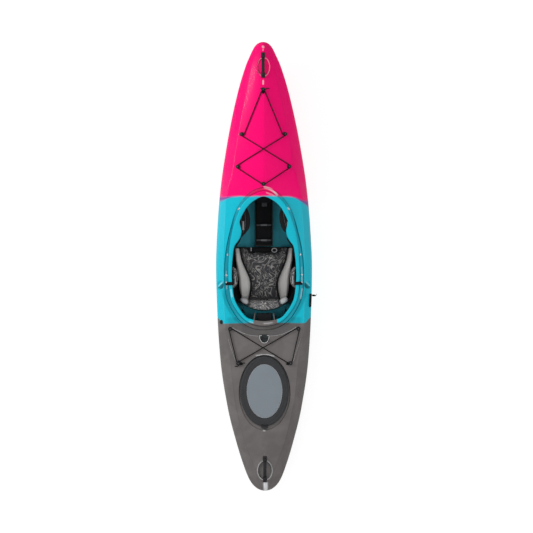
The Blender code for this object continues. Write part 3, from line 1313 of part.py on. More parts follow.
def make_bulkhead():
    """Foam wall that fills the hull's section behind the cockpit."""
    clear = BULKHEAD_CLEARANCE
    slack = 0.003
    rings = []
    for y in BULKHEAD_SPAN:
        foot = BULKHEAD_HEIGHTS[0]
        outline = [(bottom_half_width(y, 0.0), foot)]
        for z in BULKHEAD_HEIGHTS[1:]:
            x = bottom_half_width(y, z) - clear - slack
            outline.append((min(x, bottom_half_width(y, z - foot)), z))
        outline.append((half_beam(y) - clear - 2 * slack, smooth(GUNWALE_HEIGHT, y) - slack))
        for x in (crease_half(y) - 0.022, 0.16, 0.08):
            outline.append((x, deck_height(x, y) - clear - 0.007))
        outline += [(-x, z) for x, z in reversed(outline)]
        rings.append([(x, y, z) for x, z in outline])
    wall = lofted("rear_bulkhead", rings, BLACK_FOAM, rounded=None)
    before, after = SKEG_LINE_THROUGH_BULKHEAD
    cut(wall, cutting_cylinder("line_bore", before, after, SKEG_TUBE_RADIUS + 0.0035, 8))


def make_coaming_straps():
    """Webbing from the last coaming screws over the lip and down to the hip pads."""
    y = STRAP_PLACE
    path = [(x, lip_height(y) + rise) for x, rise in STRAP_PATH]
    for side, sign in PORT_AND_STARBOARD.items():
        bm = bmesh.new()
        layers = []
        for shift in (0.0, STRAP_THICK):
            rows = []
            for index, (x, z) in enumerate(path):
                ahead = path[min(index + 1, len(path) - 1)]
                behind = path[max(index - 1, 0)]
                along = Vector((ahead[0] - behind[0], ahead[1] - behind[1])).normalized()
                out = Vector((-along.y, along.x)) * -shift
                rows.append([bm.verts.new((sign * (x + out.x), y + half, z + out.y))
                             for half in (-STRAP_WIDTH / 2, STRAP_WIDTH / 2)])
            layers.append(rows)
        inner, outer = layers
        for rows in layers:
            for a, b in zip(rows, rows[1:]):
                bm.faces.new((a[0], a[1], b[1], b[0]))
        for edge in (0, 1):
            for i in range(len(path) - 1):
                bm.faces.new((inner[i][edge], inner[i + 1][edge], outer[i + 1][edge],
                              outer[i][edge]))
        for end in (0, -1):
            bm.faces.new((inner[end][0], inner[end][1], outer[end][1], outer[end][0]))
        finish_object(bm, f"coaming_strap_{side}", BLACK_CORD)


def main():
    clear_scene()
    make_hull()
    make_hatch()
    make_handle("bow_handle", *BOW_HANDLE)
    make_handle("stern_handle", *STERN_HANDLE)
    make_deck_fittings()
    make_security_bar()
    make_drain_plug()
    make_skeg()
    make_seat_pan()
    make_cushions()
    make_leg_lifter()
    make_backband()
    make_thigh_braces()
    make_foot_braces()
    make_pillars()
    make_bulkhead()
    make_coaming_straps()


main()
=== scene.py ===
"""Crossover kayak: the finished skins, cloth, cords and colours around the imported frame.

Metres, +Z up, +Y towards the bow, +X to starboard, as in the frame.
"""
import bisect
import json
import math

import bmesh
import bpy
from bpy.props import FloatProperty, FloatVectorProperty, IntProperty, PointerProperty
from mathutils import Matrix, Vector
from mathutils.bvhtree import BVHTree


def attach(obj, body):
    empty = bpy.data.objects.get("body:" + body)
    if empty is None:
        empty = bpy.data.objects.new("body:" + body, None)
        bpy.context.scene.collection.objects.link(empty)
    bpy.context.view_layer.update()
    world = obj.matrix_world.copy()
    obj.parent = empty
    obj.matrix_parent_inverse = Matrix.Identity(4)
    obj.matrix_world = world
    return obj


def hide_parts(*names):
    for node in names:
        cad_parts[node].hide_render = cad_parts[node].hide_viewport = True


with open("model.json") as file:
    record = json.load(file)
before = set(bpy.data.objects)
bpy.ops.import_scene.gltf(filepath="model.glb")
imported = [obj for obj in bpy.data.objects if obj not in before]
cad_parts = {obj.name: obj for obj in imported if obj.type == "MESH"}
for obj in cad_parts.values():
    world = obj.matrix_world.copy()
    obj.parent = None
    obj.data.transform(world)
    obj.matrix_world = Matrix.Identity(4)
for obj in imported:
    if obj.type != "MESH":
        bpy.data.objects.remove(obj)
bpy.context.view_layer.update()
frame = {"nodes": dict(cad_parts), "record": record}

bl_info = {
    "name": "Crossover kayak",
    "version": (1, 0, 0),
    "blender": (4, 5, 0),
    "location": "3D View > Sidebar > Kayak",
    "description": "Builds the visible pieces of a crossover kayak around its frame",
    "category": "Object",
}

# The boat's lines, as in the frame: (distance ahead of the middle, value there)
LENGTH = 2.92
HALF = LENGTH / 2
WALL = 0.005
TIP_BLUNTNESS = 60
SIDES = {"port": -1, "starboard": 1}
HALF_BEAM = [(-1.46, 0.066), (-1.387, 0.103), (-1.309, 0.133), (-1.153, 0.182), (-0.919, 0.24),
             (-0.607, 0.286), (-0.3, 0.305), (0.0, 0.312), (0.25, 0.302), (0.484, 0.283),
             (0.796, 0.237), (1.107, 0.172), (1.3, 0.115), (1.4, 0.0745), (1.46, 0.055)]
KEEL_HEIGHT = [(-1.46, 0.085), (-1.25, 0.04), (-1.0, 0.012), (-0.6, 0.0), (0.46, 0.0),
               (0.8, 0.018), (1.1, 0.06), (1.3, 0.112), (1.46, 0.165)]
GUNWALE_HEIGHT = [(-1.46, 0.16), (-1.0, 0.165), (-0.5, 0.18), (0.0, 0.195), (0.6, 0.205),
                  (1.0, 0.222), (1.3, 0.236), (1.46, 0.24)]
CREASE_HALF = [(-1.46, 0.03), (-1.345, 0.055), (-1.17, 0.121), (-1.03, 0.16), (-0.833, 0.198),
               (-0.61, 0.222), (-0.44, 0.2505), (-0.05, 0.27), (0.3, 0.258), (0.494, 0.236),
               (0.62, 0.203), (0.832, 0.168), (1.114, 0.112), (1.324, 0.0675), (1.46, 0.03)]
CREASE_HEIGHT = [(-1.46, 0.205), (-1.1, 0.226), (-0.83, 0.238), (-0.5, 0.236), (-0.2, 0.256),
                 (0.05, 0.279), (0.25, 0.298), (0.62, 0.298), (1.0, 0.288), (1.3, 0.276),
                 (1.46, 0.268)]
RIDGE_HEIGHT = [(-1.46, 0.215), (-1.1, 0.243), (-0.8, 0.25), (-0.5, 0.25), (-0.2, 0.262),
                (0.0, 0.3), (0.2, 0.35), (0.4, 0.359), (0.515, 0.357), (0.8, 0.345),
                (1.1, 0.325), (1.3, 0.306), (1.46, 0.285)]
BOTTOM_ACROSS = [(0.0, 0.0), (0.28, 0.42), (0.52, 0.74), (0.64, 0.87), (0.8, 0.96), (1.0, 1.0)]
BOTTOM_UP = [(0.0, 0.0), (0.28, 0.0), (0.52, 0.06), (0.64, 0.22), (0.8, 0.55), (1.0, 1.0)]
SIDE_DECK_ROUNDING = 0.8
RIDGE_ROUNDING = 1.35

# Cockpit and hatch: half outlines as (x, y) from the front, ovals as (half width, half length)
COCKPIT_FRONT = 0.6
COCKPIT_REAR = -0.52
HATCH_REAR = -1.11
LIP_OUTLINE = [(0.0, 0.49), (0.075, 0.463), (0.128, 0.417), (0.16, 0.365), (0.194, 0.27),
               (0.2105, 0.207), (0.225, 0.114), (0.232, -0.02), (0.229, -0.12),
               (0.21, -0.229), (0.148, -0.325), (0.085, -0.37), (0.0, -0.386)]
OPENING_OUTLINE = [(0.0, 0.453), (0.062, 0.427), (0.104, 0.39), (0.1315, 0.3475), (0.152, 0.305),
                   (0.156, 0.2825), (0.147, 0.2475), (0.144, 0.227), (0.1525, 0.19),
                   (0.1705, 0.161), (0.19, 0.133), (0.2, 0.085), (0.2085, -0.02),
                   (0.207, -0.11), (0.1887, -0.22), (0.135, -0.3085), (0.0916, -0.34),
                   (0.0, -0.354)]
HOLLOW_OUTLINE = [(0.0, 0.515), (0.06, 0.498), (0.111, 0.4625), (0.1775, 0.3715),
                  (0.2195, 0.239), (0.247, 0.114), (0.2605, -0.02), (0.257, -0.14),
                  (0.236, -0.235), (0.17, -0.345), (0.09, -0.4), (0.0, -0.415)]
HOLLOW_SIDE = [(y, x) for x, y in reversed(HOLLOW_OUTLINE)]
LIP_REAR_HEIGHT = 0.262
LIP_RISE = 0.113
LIP_RISE_POWER = 1.6
LIP_STAND = 0.03
WALL_INSET = 0.017
COAMING_WALL = 0.0045
HATCH_CENTRE = -0.81
HATCH_HOLLOW = (0.168, 0.246)
HATCH_HOLLOW_CENTRE = -0.8205
HATCH_HOLLOW_HEIGHT = 0.232
HATCH_COLLAR = (0.15, 0.2205)
HATCH_OPENING = (0.137, 0.207)
HATCH_COLLAR_TOP = 0.244
HATCH_LID = (0.1575, 0.2286)
HATCH_PANEL = (0.1145, 0.1738)
HATCH_LID_TOP = 0.25

# Fineness of the hull's skin
BOW_STEPS = 230
COCKPIT_STEPS = 220
HATCH_STEPS = 80
STERN_STEPS = 120
TOP_SHARES = [i / 30 for i in range(29)] + [0.955, 0.98, 1.0]
SIDE_SHARES = [0.03, 0.08, 0.16, 0.3, 0.46, 0.64, 0.82, 1.0]
BOTTOM_STEPS = 18
RING_MARGIN = 0.025
RING_CORNER = 0.012
OUTER_STEPS = [0.0, 0.18, 0.36, 0.54, 0.7, 0.84, 0.92, 0.97]
TOP_STEPS = [0.0, 0.05, 0.14, 0.25, 0.36, 0.47, 0.58, 0.69, 0.8, 0.89, 0.96]
WALL_STEPS = [0.12, 0.3, 0.5, 0.7, 0.88]
WALL_RUN = 0.0065
FOOT_STEPS = [0.08, 0.2, 0.3, 0.38, 0.46, 0.54, 0.65, 0.92, 1.0]
HATCH_SIDES = 120
WELD = 1e-5

# Painted light values that the hull's paint reads: painted shade above 0, painted highlights below
HOLLOW_RIM = 0.3
HOLLOW_WALL = 0.85
HOLLOW_FLOOR = -0.05
HOLLOW_FOOT = 0.95
BAND_SHADE = 0.55
CREASE_SHADE = 0.22
CREASE_HIGHLIGHT = -0.22
HIGHLIGHT_MARK = -0.7

# Where the three plastics meet: distance ahead of and behind the middle
BOW_COLOUR_EDGE = 0.455
STERN_COLOUR_EDGE = 0.368

# Dents in the deck: (x, y, half width, half length, depth)
DENTS = [(0.003, 1.296, 0.038, 0.058, 0.012), (0.0, -1.3265, 0.046, 0.061, 0.012),
         (0.282, -0.12, 0.022, 0.027, 0.014), (-0.282, -0.12, 0.022, 0.027, 0.014)]
DENT_EDGE = 0.24

# Streaks of painted highlight that stand in for glints on the plastic: (route, half width,
# strength)
HIGHLIGHT_STREAKS = [([(0.006, 0.5135), (0.03, 0.5075), (0.052, 0.496), (0.072, 0.48), (0.086, 0.462)],
            0.0075, 1.25),
           ([(0.02, 0.478), (0.052, 0.469), (0.066, 0.458)], 0.004, 0.5),
           ([(0.247, -0.146), (0.2445, -0.172), (0.239, -0.211)], 0.0045, 1.2),
           ([(0.245, -0.006), (0.246, -0.04)], 0.004, 0.55),
           ([(0.2465, -0.07), (0.2465, -0.09)], 0.0045, 0.9),
           ([(-0.244, -0.03), (-0.244, -0.066)], 0.0035, 0.6),
           ([(-0.244, -0.118), (-0.243, -0.142)], 0.004, 0.9),
           ([(-0.215, -0.15), (-0.208, -0.195)], 0.0045, 0.6),
           ([(0.0, 1.206), (0.0, 1.184)], 0.0045, 1.1),
           ([(0.0, 1.16), (0.0, 1.125)], 0.0035, 0.35),
           ([(0.0, 1.428), (0.002, 1.424)], 0.008, 0.9),
           ([(0.0, 1.408), (0.0, 1.404)], 0.0045, 0.7),
           ([(0.004, -1.412), (0.004, -1.446)], 0.015, 1.5),
           ([(-0.052, -0.579), (-0.02, -0.5735), (0.022, -0.5735), (0.062, -0.583)],
            0.0042, 0.75),
           ([(-0.008, -1.066), (0.0, -1.067)], 0.005, 0.9),
           ([(-0.002, -0.372), (0.052, -0.366)], 0.004, 0.6),
           ([(-0.1, -0.357), (-0.07, -0.366)], 0.0035, 0.5)]

# Recess behind the cockpit, and the step and side lines there
SHIELD_OUTLINE = [(0.0, -0.498), (0.016, -0.492), (0.027, -0.474), (0.031, -0.452), (0.018, -0.448)]
SHIELD_HALF = 0.031
SHIELD_ENDS = (-0.503, -0.443)
SHIELD_DEPTH = 0.011
STEP_REACH = (-0.66, -0.33)
STEP_LINE = [(0.0, -0.447), (0.045, -0.452), (0.1, -0.445), (0.16, -0.424), (0.205, -0.398),
             (0.235, -0.372)]
STEP_HEIGHT = 0.005
SIDE_LINE = [(-0.625, 0.184), (-0.56, 0.206), (-0.49, 0.23), (-0.43, 0.241), (-0.38, 0.238)]
SIDE_STEP = 0.0032
BEAD = 0.0022

# Shaded band in the side decks' hollows, from its rear to its front
BAND_REACH = (-0.42, -0.08)

# Deck fittings: places as (x, y), handles as (front, rear)
CORD_RADIUS = 0.0026
CORD_COVER = 0.0031
TAIL_RADIUS = 0.0025
EYE_RADIUS = 0.0135
EYE_NECK = 0.0035
EYE_BASE = 0.003
EYE_HEIGHT = 0.0148
BOW_EYES = {"top": (0.0, 1.149), "upper": (0.139, 0.859), "lower": (0.165, 0.648),
            "bottom": (0.0, 0.535)}
STERN_EYES = {"front": (0.222, -0.405), "rear": (0.17, -0.629)}
DRAIN_PLACE = (-0.278, -0.36)
COAMING_SCREWS = [(0.156, 0.376), (0.1705, 0.206), (0.235, 0.077), (0.245, -0.054),
                  (0.2455, -0.103)]
BOW_HANDLE = (1.389, 1.224)
STERN_HANDLE = (-1.232, -1.402)
HANDLE_BLOCK = (0.026, 0.036, 0.016)
HANDLE_GRIP = (0.021, 0.012)
HANDLE_ARCH = 0.034
HANDLE_LEVEL = 0.009
HANDLE_RIBS = 9
SKEG_LINE_PLACE = (0.2965, -0.188)
SKEG_SLOT = (-1.255, -0.96)
SKEG_SLOT_HALF = 0.0045
SKEG_SLOT_MARGIN = 0.03

# Seat, backband and thigh braces; the notch is from x to x, with its rear end's y
SEAT_FRONT = 0.127
CUSHION_HALF = [(-0.235, 0.102), (-0.178, 0.092), (-0.13, 0.083), (-0.081, 0.09),
                (-0.016, 0.118), (0.055, 0.146), (0.127, 0.157)]
NOTCH = (-0.09, 0.094, 0.088)
SMOOTHINGS = 4
BAND_CENTRE = -0.13
BAND_AXES = (0.193, 0.155)
BAND_SEAM = math.radians(33.3)
SIDE_PAD_PLACE = (0.125, -0.2255, 0.1735)
SIDE_PAD_HALF = (0.0335, 0.02, 0.043)
SIDE_PAD_TURN = math.radians(30)
SIDE_PAD_FULLNESS = 3.4
BRACE_BOLT = (0.164, 0.372)
BRACE_HEIGHTS = (0.25, 0.27)
BRACE_OUTER = [(0.15, 0.405), (0.185, 0.372), (0.192, 0.3), (0.19, 0.235), (0.178, 0.185)]
BRACE_INNER = [(0.12, 0.4), (0.094, 0.35), (0.086, 0.3), (0.096, 0.245), (0.148, 0.185)]
BRACE_TURN = {"port": 0.0, "starboard": math.radians(-12)}
BRACE_SEAMS = (0.3, 0.55)
BRACE_PIPING = (*BRACE_SEAMS, 0.78)
TRAY_RUNGS = (0.271, 0.172)

# Picture and stage
METRES_PER_PIXEL = 0.006495
PICTURE_WIDTH = 533
CAMERA_DISTANCE = 40.0
CAMERA_LEVEL = 0.27
SENSOR = 36.0
FLOOR_LEVEL = -0.001
FLOOR_HALF = 14
LAMP_AIM = Vector((0, 0, 0.2))


def rgb(red, green, blue):
    """Linear colour of a screen colour given in 255ths."""
    def straight(value):
        value /= 255
        return value / 12.92 if value <= 0.04045 else ((value + 0.055) / 1.055) ** 2.4

    return (straight(red), straight(green), straight(blue))


# The boat's surfaces

def smooth(knots, place):
    """Value of the smooth curve through (place, value) knots, without overshoot."""
    places = [knot[0] for knot in knots]
    values = [knot[1] for knot in knots]
    if place <= places[0]:
        return values[0]
    if place >= places[-1]:
        return values[-1]
    left = bisect.bisect_right(places, place) - 1

    def slope(index):
        return (values[index + 1] - values[index]) / (places[index + 1] - places[index])

    def tangent(knot):
        if knot == 0:
            return slope(0)
        if knot == len(places) - 1:
            return slope(knot - 1)
        before, after = slope(knot - 1), slope(knot)
        if before * after <= 0:
            return 0.0
        return 2 * before * after / (before + after)

    span = places[left + 1] - places[left]
    t = (place - places[left]) / span
    start = (1 + 2 * t) * (1 - t) ** 2 * values[left] + t * (1 - t) ** 2 * span * tangent(left)
    end = t * t * (3 - 2 * t) * values[left + 1] - t * t * (1 - t) * span * tangent(left + 1)
    return start + end


def ease(value):
    """0 below 0, 1 above 1, and a soft step between."""
    value = min(max(value, 0.0), 1.0)
    return value * value * (3 - 2 * value)


def tip(y):
    """Share of the full section left at y: 1 along the boat, 0 at the rounded ends."""
    return math.sqrt(max(0.0, 1.0 - abs(y / HALF) ** TIP_BLUNTNESS))


def half_beam(y):
    return smooth(HALF_BEAM, y) * tip(y)


def crease_half(y):
    """Half width of the deck at the crease between its top and its sides."""
    return min(smooth(CREASE_HALF, y) * tip(y), 0.85 * half_beam(y))


def bottom_point(y, share):
    """Point of the bottom's section, from the keel at share 0 to the gunwale at 1."""
    across = smooth(BOTTOM_ACROSS, abs(share))
    up = smooth(BOTTOM_UP, abs(share))
    gunwale = smooth(GUNWALE_HEIGHT, y)
    keel = smooth(KEEL_HEIGHT, y)
    return (math.copysign(across, share) * half_beam(y), y,
            gunwale + (keel - gunwale) * (1 - up) * tip(y))


def plain_deck(x, y):
    """Height of the deck before the cockpit, the hatch and the dents are let into it."""
    beam = max(half_beam(y), 0.001)
    crease = max(crease_half(y), 0.0008)
    gunwale = smooth(GUNWALE_HEIGHT, y)
    crease_height = gunwale + (smooth(CREASE_HEIGHT, y) - gunwale) * tip(y)
    ridge_height = gunwale + (smooth(RIDGE_HEIGHT, y) - gunwale) * tip(y)
    side = min(abs(x), beam)
    if side >= crease:
        share = (beam - side) / (beam - crease)
        return gunwale + (crease_height - gunwale) * share ** SIDE_DECK_ROUNDING
    return crease_height + (ridge_height - crease_height) * (1 - (side / crease) ** RIDGE_ROUNDING)


def deck(x, y):
    """Height of the deck with its dents and the step behind the cockpit."""
    height = plain_deck(x, y)
    for dent_x, dent_y, width, length, depth in DENTS:
        if abs(y - dent_y) < length and abs(x - dent_x) < width:
            height -= depth * dent_share(x - dent_x, y - dent_y, width, length)
    if STEP_REACH[0] < y < STEP_REACH[1]:
        forward = y - smooth(STEP_LINE, abs(x))
        fade = 1 - ease((abs(x) - 0.21) / 0.03)
        height += STEP_HEIGHT * fade * ease(forward / 0.006) * (1 - ease(forward / 0.034))
        outward = abs(x) - smooth(SIDE_LINE, y)
        fade = ease((y + 0.635) / 0.03) * (1 - ease((y + 0.41) / 0.03))
        height -= SIDE_STEP * fade * ease(outward / 0.005) * (1 - ease(outward / 0.026))
        height -= SHIELD_DEPTH * shield_share(x, y)
    return height


def dent_share(x, y, width, length):
    """Share of a dent's depth at a distance from its middle."""
    return ease((1 - (x / width) ** 2 - (y / length) ** 2) / DENT_EDGE)


def shield_share(x, y):
    """Share of the depth of the shield-shaped recess behind the cockpit."""
    rear, front = SHIELD_ENDS
    inside = min(SHIELD_HALF - abs(x), front - y, y - rear - abs(x) * 0.45)
    return ease(inside / 0.007)


def painted_light_and_shade(x, y):
    """Painted shade at a place on the deck; below 0 where a highlight is painted."""
    shade = 0.0
    # painted shade inside the dents and painted highlights on their edges
    for dent_x, dent_y, width, length, _ in DENTS:
        side, ahead = x - dent_x, y - dent_y
        if abs(ahead) < 1.4 * length and abs(side) < 1.4 * width:
            share = dent_share(side, ahead, width, length)
            if abs(dent_x) > 0.1:
                slope = ahead / length + 0.8 * (abs(x) - abs(dent_x)) / width
                shade += 1.1 * share * (1 - ease((slope + 0.1) / 0.3))
                shade += HIGHLIGHT_MARK * share * ease(slope / 0.25) * (1 - ease((slope - 0.25) / 0.3))
            else:
                reach = math.hypot(side / width, ahead / length)
                shade += max(2.4 * share * (1 - share), 0.25 * share)
                shade += HIGHLIGHT_MARK * math.exp(-((reach - 1.03) / 0.06) ** 2)
    # painted shade in the band ahead of the step line and in the shield's recess
    if STEP_REACH[0] < y < STEP_REACH[1]:
        forward = y - smooth(STEP_LINE, abs(x))
        fade = 1 - ease((abs(x) - 0.225) / 0.03)
        shade += 0.42 * fade * ease((forward + 0.001) / 0.004)
        shade = max(shade, 1.3 * shield_share(x, y))
    # painted shade in a band beside the cockpit's hollow
    rear, front = BAND_REACH
    if rear < y < front:
        outward = abs(x) - smooth(HOLLOW_SIDE, y)
        fade = ease((front - y) / 0.12) * ease((y - rear) / 0.06)
        shade += BAND_SHADE * fade * (1 - ease((outward - 0.014) / 0.014))
    # painted shade along the crease at the bow and the stern
    if y > COCKPIT_FRONT or y < COCKPIT_REAR:
        shade += CREASE_SHADE * (1 - ease(abs(abs(x) - crease_half(y)) / 0.005))
    # less the painted highlight streaks
    return shade - painted_highlight_at(x, y)


def painted_highlight_at(x, y):
    """Strength of the painted highlight streaks at a place."""
    painted_highlight = 0.0
    for route, half_width, strength in HIGHLIGHT_STREAKS:
        if abs(y - route[0][1]) > 0.12:
            continue
        place = Vector((x, y))
        nearest = 1.0
        for start, end in zip(route, route[1:]):
            start, end = Vector(start), Vector(end)
            along = (place - start).dot(end - start) / (end - start).length_squared
            nearest = min(nearest, (place - start.lerp(end, min(max(along, 0.0), 1.0))).length)
        painted_highlight = max(painted_highlight, strength * (1 - ease(nearest / half_width - 0.35)))
    return painted_highlight


def deck_frame(x, y):
    """Matrix of a fitting on the deck: Z square to the deck, Y towards the bow."""
    step = 0.004
    across = plain_deck(x + step, y) - plain_deck(x - step, y)
    along = plain_deck(x, y + step) - plain_deck(x, y - step)
    normal = Vector((-across, -along, 2 * step)).normalized()
    right = Vector((0, 1, 0)).cross(normal).normalized()
    turn = Matrix((right, normal.cross(right), normal)).transposed().to_4x4()
    return Matrix.Translation((x, y, plain_deck(x, y))) @ turn


def lip_height(y):
    """Height of the coaming's lip, which climbs towards the front."""
    front, rear = LIP_OUTLINE[0][1], LIP_OUTLINE[-1][1]
    return LIP_REAR_HEIGHT + LIP_RISE * max(0.0, (y - rear) / (front - rear)) ** LIP_RISE_POWER


def turns(count):
    """Angles of the corners of a ring."""
    return [2 * math.pi * i / count for i in range(count)]


def fuller(value, power):
    """A sine or cosine that swells an ellipse towards a box, at powers below 1."""
    return math.copysign(abs(value) ** power, value)


def spline(a, b, c, d, t):
    """Point between b and c of the smooth curve through four points."""
    return 0.5 * ((2 * b) + (c - a) * t + (2 * a - 5 * b + 4 * c - d) * t * t
                  + (3 * b - a - 3 * c + d) * t ** 3)


def half_curve(points):
    """Function from a share of the way, 0 to 1, to a point on the curve through the points."""
    first = (-points[1][0], points[1][1])
    last = (-points[-2][0], points[-2][1])
    padded = [Vector(p) for p in [first] + points + [last]]
    dense = []
    for corners in zip(padded, padded[1:], padded[2:], padded[3:]):
        dense += [spline(*corners, step / 10) for step in range(10)]
    dense.append(padded[-2])
    lengths = [0.0]
    for a, b in zip(dense, dense[1:]):
        lengths.append(lengths[-1] + (b - a).length)

    def at(share):
        target = min(max(share, 0.0), 1.0) * lengths[-1]
        index = min(bisect.bisect_right(lengths, target), len(dense) - 1)
        span = lengths[index] - lengths[index - 1]
        return dense[index - 1].lerp(dense[index], (target - lengths[index - 1]) / span)

    return at


def half_ellipse(centre, axes):
    """The same kind of function for an ellipse, from its front to its rear."""
    def at(share):
        angle = share * math.pi
        return Vector((axes[0] * math.sin(angle), centre + axes[1] * math.cos(angle)))

    return at


def inset(curve, distance):
    """A half curve moved towards its inside by a distance."""
    def at(share):
        along = (curve(min(share + 0.01, 1.0)) - curve(max(share - 0.01, 0.0))).normalized()
        if share in (0.0, 1.0):
            along = Vector((1.0 if share == 0.0 else -1.0, 0.0))
        return curve(share) + Vector((along.y, -along.x)) * distance

    return at


def through(points, steps):
    """Smooth route through points in space, with some steps in each stretch."""
    points = [Vector(p) for p in points]
    padded = [2 * points[0] - points[1]] + points + [2 * points[-1] - points[-2]]
    route = []
    for corners in zip(padded, padded[1:], padded[2:], padded[3:]):
        route += [spline(*corners, step / steps) for step in range(steps)]
    return route + [points[-1]]


# Making pieces

def skin(bm, rows, shade=None):
    """Skin over rows of points: a grid whose corners are moved on to them.

    shade gives a corner's painted light or shade value from its row and its place.
    """
    # mesh attribute of painted shade (above 0) and painted highlight (below 0)
    layer = bm.verts.layers.float.get("painted_light_and_shade") or bm.verts.layers.float.new("painted_light_and_shade")
    across, along = len(rows[0]) - 1, len(rows) - 1
    made = bmesh.ops.create_grid(bm, x_segments=across, y_segments=along, size=0.5)
    for vert in made["verts"]:
        column = round((vert.co.x + 0.5) * across)
        row = round((vert.co.y + 0.5) * along)
        vert.co = rows[row][column]
        if shade:
            vert[layer] = shade(row, vert.co)


def skin_rings(bm, rings, shade=None):
    """Skin over rings of points."""
    skin(bm, [[*ring, ring[0]] for ring in rings], shade)


def solid(bm, rings):
    """Skin over rings of points, with a flat face over the first and the last."""
    skin_rings(bm, rings)
    for ring in (rings[0], rings[-1]):
        flat_face(bm, ring)


def flat_face(bm, corners):
    """New face over a ring of points."""
    return bm.faces.new([bm.verts.new(place) for place in corners])


def slab(bm, corners, move):
    """Flat outline pushed along to a slab."""
    pushed = bmesh.ops.extrude_face_region(bm, geom=[flat_face(bm, corners)])["geom"]
    bmesh.ops.translate(bm, vec=move,
                        verts=[part for part in pushed if isinstance(part, bmesh.types.BMVert)])


def linked(bm, name):
    """Object of a bmesh, in the scene."""
    mesh = bpy.data.meshes.new(name)
    bm.to_mesh(mesh)
    bm.free()
    piece = bpy.data.objects.new(name, mesh)
    bpy.context.collection.objects.link(piece)
    return piece


def finished(bm, name, paint_name, body, sharp=40):
    """Turn a bmesh into a painted piece that rides on a body."""
    bmesh.ops.remove_doubles(bm, verts=bm.verts, dist=WELD)
    bm.normal_update()
    bmesh.ops.recalc_face_normals(bm, faces=bm.faces)
    piece = linked(bm, name)
    mesh = piece.data
    mesh.shade_smooth()
    mesh.set_sharp_from_angle(angle=math.radians(sharp))
    mesh.materials.append(paint(paint_name))
    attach(piece, body)
    return piece


def bevelled(piece, width, segments=2, angle=35):
    """Round a piece's hard edges."""
    step = piece.modifiers.new("rounded", "BEVEL")
    step.width = width
    step.segments = segments
    step.limit_method = "ANGLE"
    step.angle_limit = math.radians(angle)
    step.harden_normals = True
    return piece


def walled(piece, thickness):
    """Give an open skin its wall, on the inside."""
    step = piece.modifiers.new("wall", "SOLIDIFY")
    step.thickness = thickness
    step.offset = -1
    step.use_rim = True
    return piece


def welded(node):
    """Mesh of a frame node, its corners joined."""
    bm = bmesh.new()
    bm.from_mesh(frame["nodes"][node].data)
    bmesh.ops.remove_doubles(bm, verts=bm.verts, dist=WELD)
    return bm


def node_body(node):
    """Body that a frame node rides on."""
    return next(body for body, nodes in frame["record"]["behaviour"]["bodies"].items()
                if node in nodes)


def node_slot(node):
    """Material slot of a frame node."""
    return next(part["material_slot"] for part in frame["record"]["subparts"]
                if part["node"] == node)


def rounded_copy(node, paint_name, width, segments=2, sharp=40, slim=1.0):
    """A node's own shape with its edges rounded, in place of the node; slim narrows it in X."""
    bm = welded(node)
    bmesh.ops.dissolve_limit(bm, angle_limit=math.radians(1), verts=bm.verts, edges=bm.edges)
    middle = sum((vert.co for vert in bm.verts), Vector()) / len(bm.verts)
    bmesh.ops.scale(bm, vec=(slim, 1, 1), verts=bm.verts, space=Matrix.Translation(-middle))
    piece = finished(bm, f"{node}_piece", paint_name, node_body(node), sharp)
    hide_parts(node)
    return bevelled(piece, width, segments)


def turned(bm, profile, place, steps=24):
    """Spin (radius, height) corners about Z and set the shape in place."""
    verts = [bm.verts.new((radius, 0, height)) for radius, height in profile]
    edges = [bm.edges.new(pair) for pair in zip(verts, verts[1:])]
    if profile[0][0] > 0:
        edges.append(bm.edges.new((verts[-1], verts[0])))
    made = bmesh.ops.spin(bm, geom=verts + edges, cent=(0, 0, 0), axis=(0, 0, 1),
                          angle=2 * math.pi, steps=steps, use_merge=True)
    spun = {vert for thing in made["geom_last"] for vert in
            (thing.verts if isinstance(thing, bmesh.types.BMEdge) else [thing])}
    spun.update(verts)
    whole = set(spun)
    edge = list(spun)
    while edge:
        vert = edge.pop()
        for link in vert.link_edges:
            other = link.other_vert(vert)
            if other not in whole:
                whole.add(other)
                edge.append(other)
    bmesh.ops.transform(bm, matrix=place, verts=list(whole))


def box(bm, low, high, place=Matrix.Identity(4), round_off=0.0, segments=2):
    """Box between two corners with rounded edges, set in place."""
    size = Vector(high) - Vector(low)
    middle = (Vector(high) + Vector(low)) / 2
    whole = place @ Matrix.Translation(middle) @ Matrix.Diagonal((*size, 1))
    made = bmesh.ops.create_cube(bm, size=1, matrix=whole)["verts"]
    if round_off:
        edges = {edge for vert in made for edge in vert.link_edges}
        bmesh.ops.bevel(bm, geom=list(edges), offset=round_off, segments=segments,
                        affect="EDGES", profile=0.5, material=-1)


def tube(bm, route, radius, sides=10, closed_loop=False, squash=1.0, mark=0.0):
    """Tube along a route of points, with rounded ends unless it is a loop."""
    right = Vector((0.3, 0.2, 1)).normalized()
    rings = []
    count = len(route)
    for index, place in enumerate(route):
        ahead = route[(index + 1) % count] if closed_loop else route[min(index + 1, count - 1)]
        behind = route[index - 1] if closed_loop else route[max(index - 1, 0)]
        along = (Vector(ahead) - Vector(behind)).normalized()
        right = (right - along * right.dot(along)).normalized()
        up = along.cross(right)
        rings.append([Vector(place) + right * radius * math.cos(a)
                      + up * radius * squash * math.sin(a) for a in turns(sides)])
    if closed_loop:
        skin_rings(bm, rings + [rings[0]], lambda row, place: mark)
        return
    for end, towards in ((0, 1), (-1, -2)):
        outward = (Vector(route[end]) - Vector(route[towards])).normalized()
        middle = Vector(route[end])
        cap = [middle + (point - middle) * 0.7 + outward * radius * 0.6 for point in rings[end]]
        point = [middle + outward * radius * 0.85] * sides
        rings = [point, cap] + rings if end == 0 else rings + [cap, point]
    skin_rings(bm, rings, lambda row, place: mark)


def strand(bm, points, radius, steps=5):
    """Short length of cord through a few points."""
    tube(bm, through(points, steps), radius, 8)


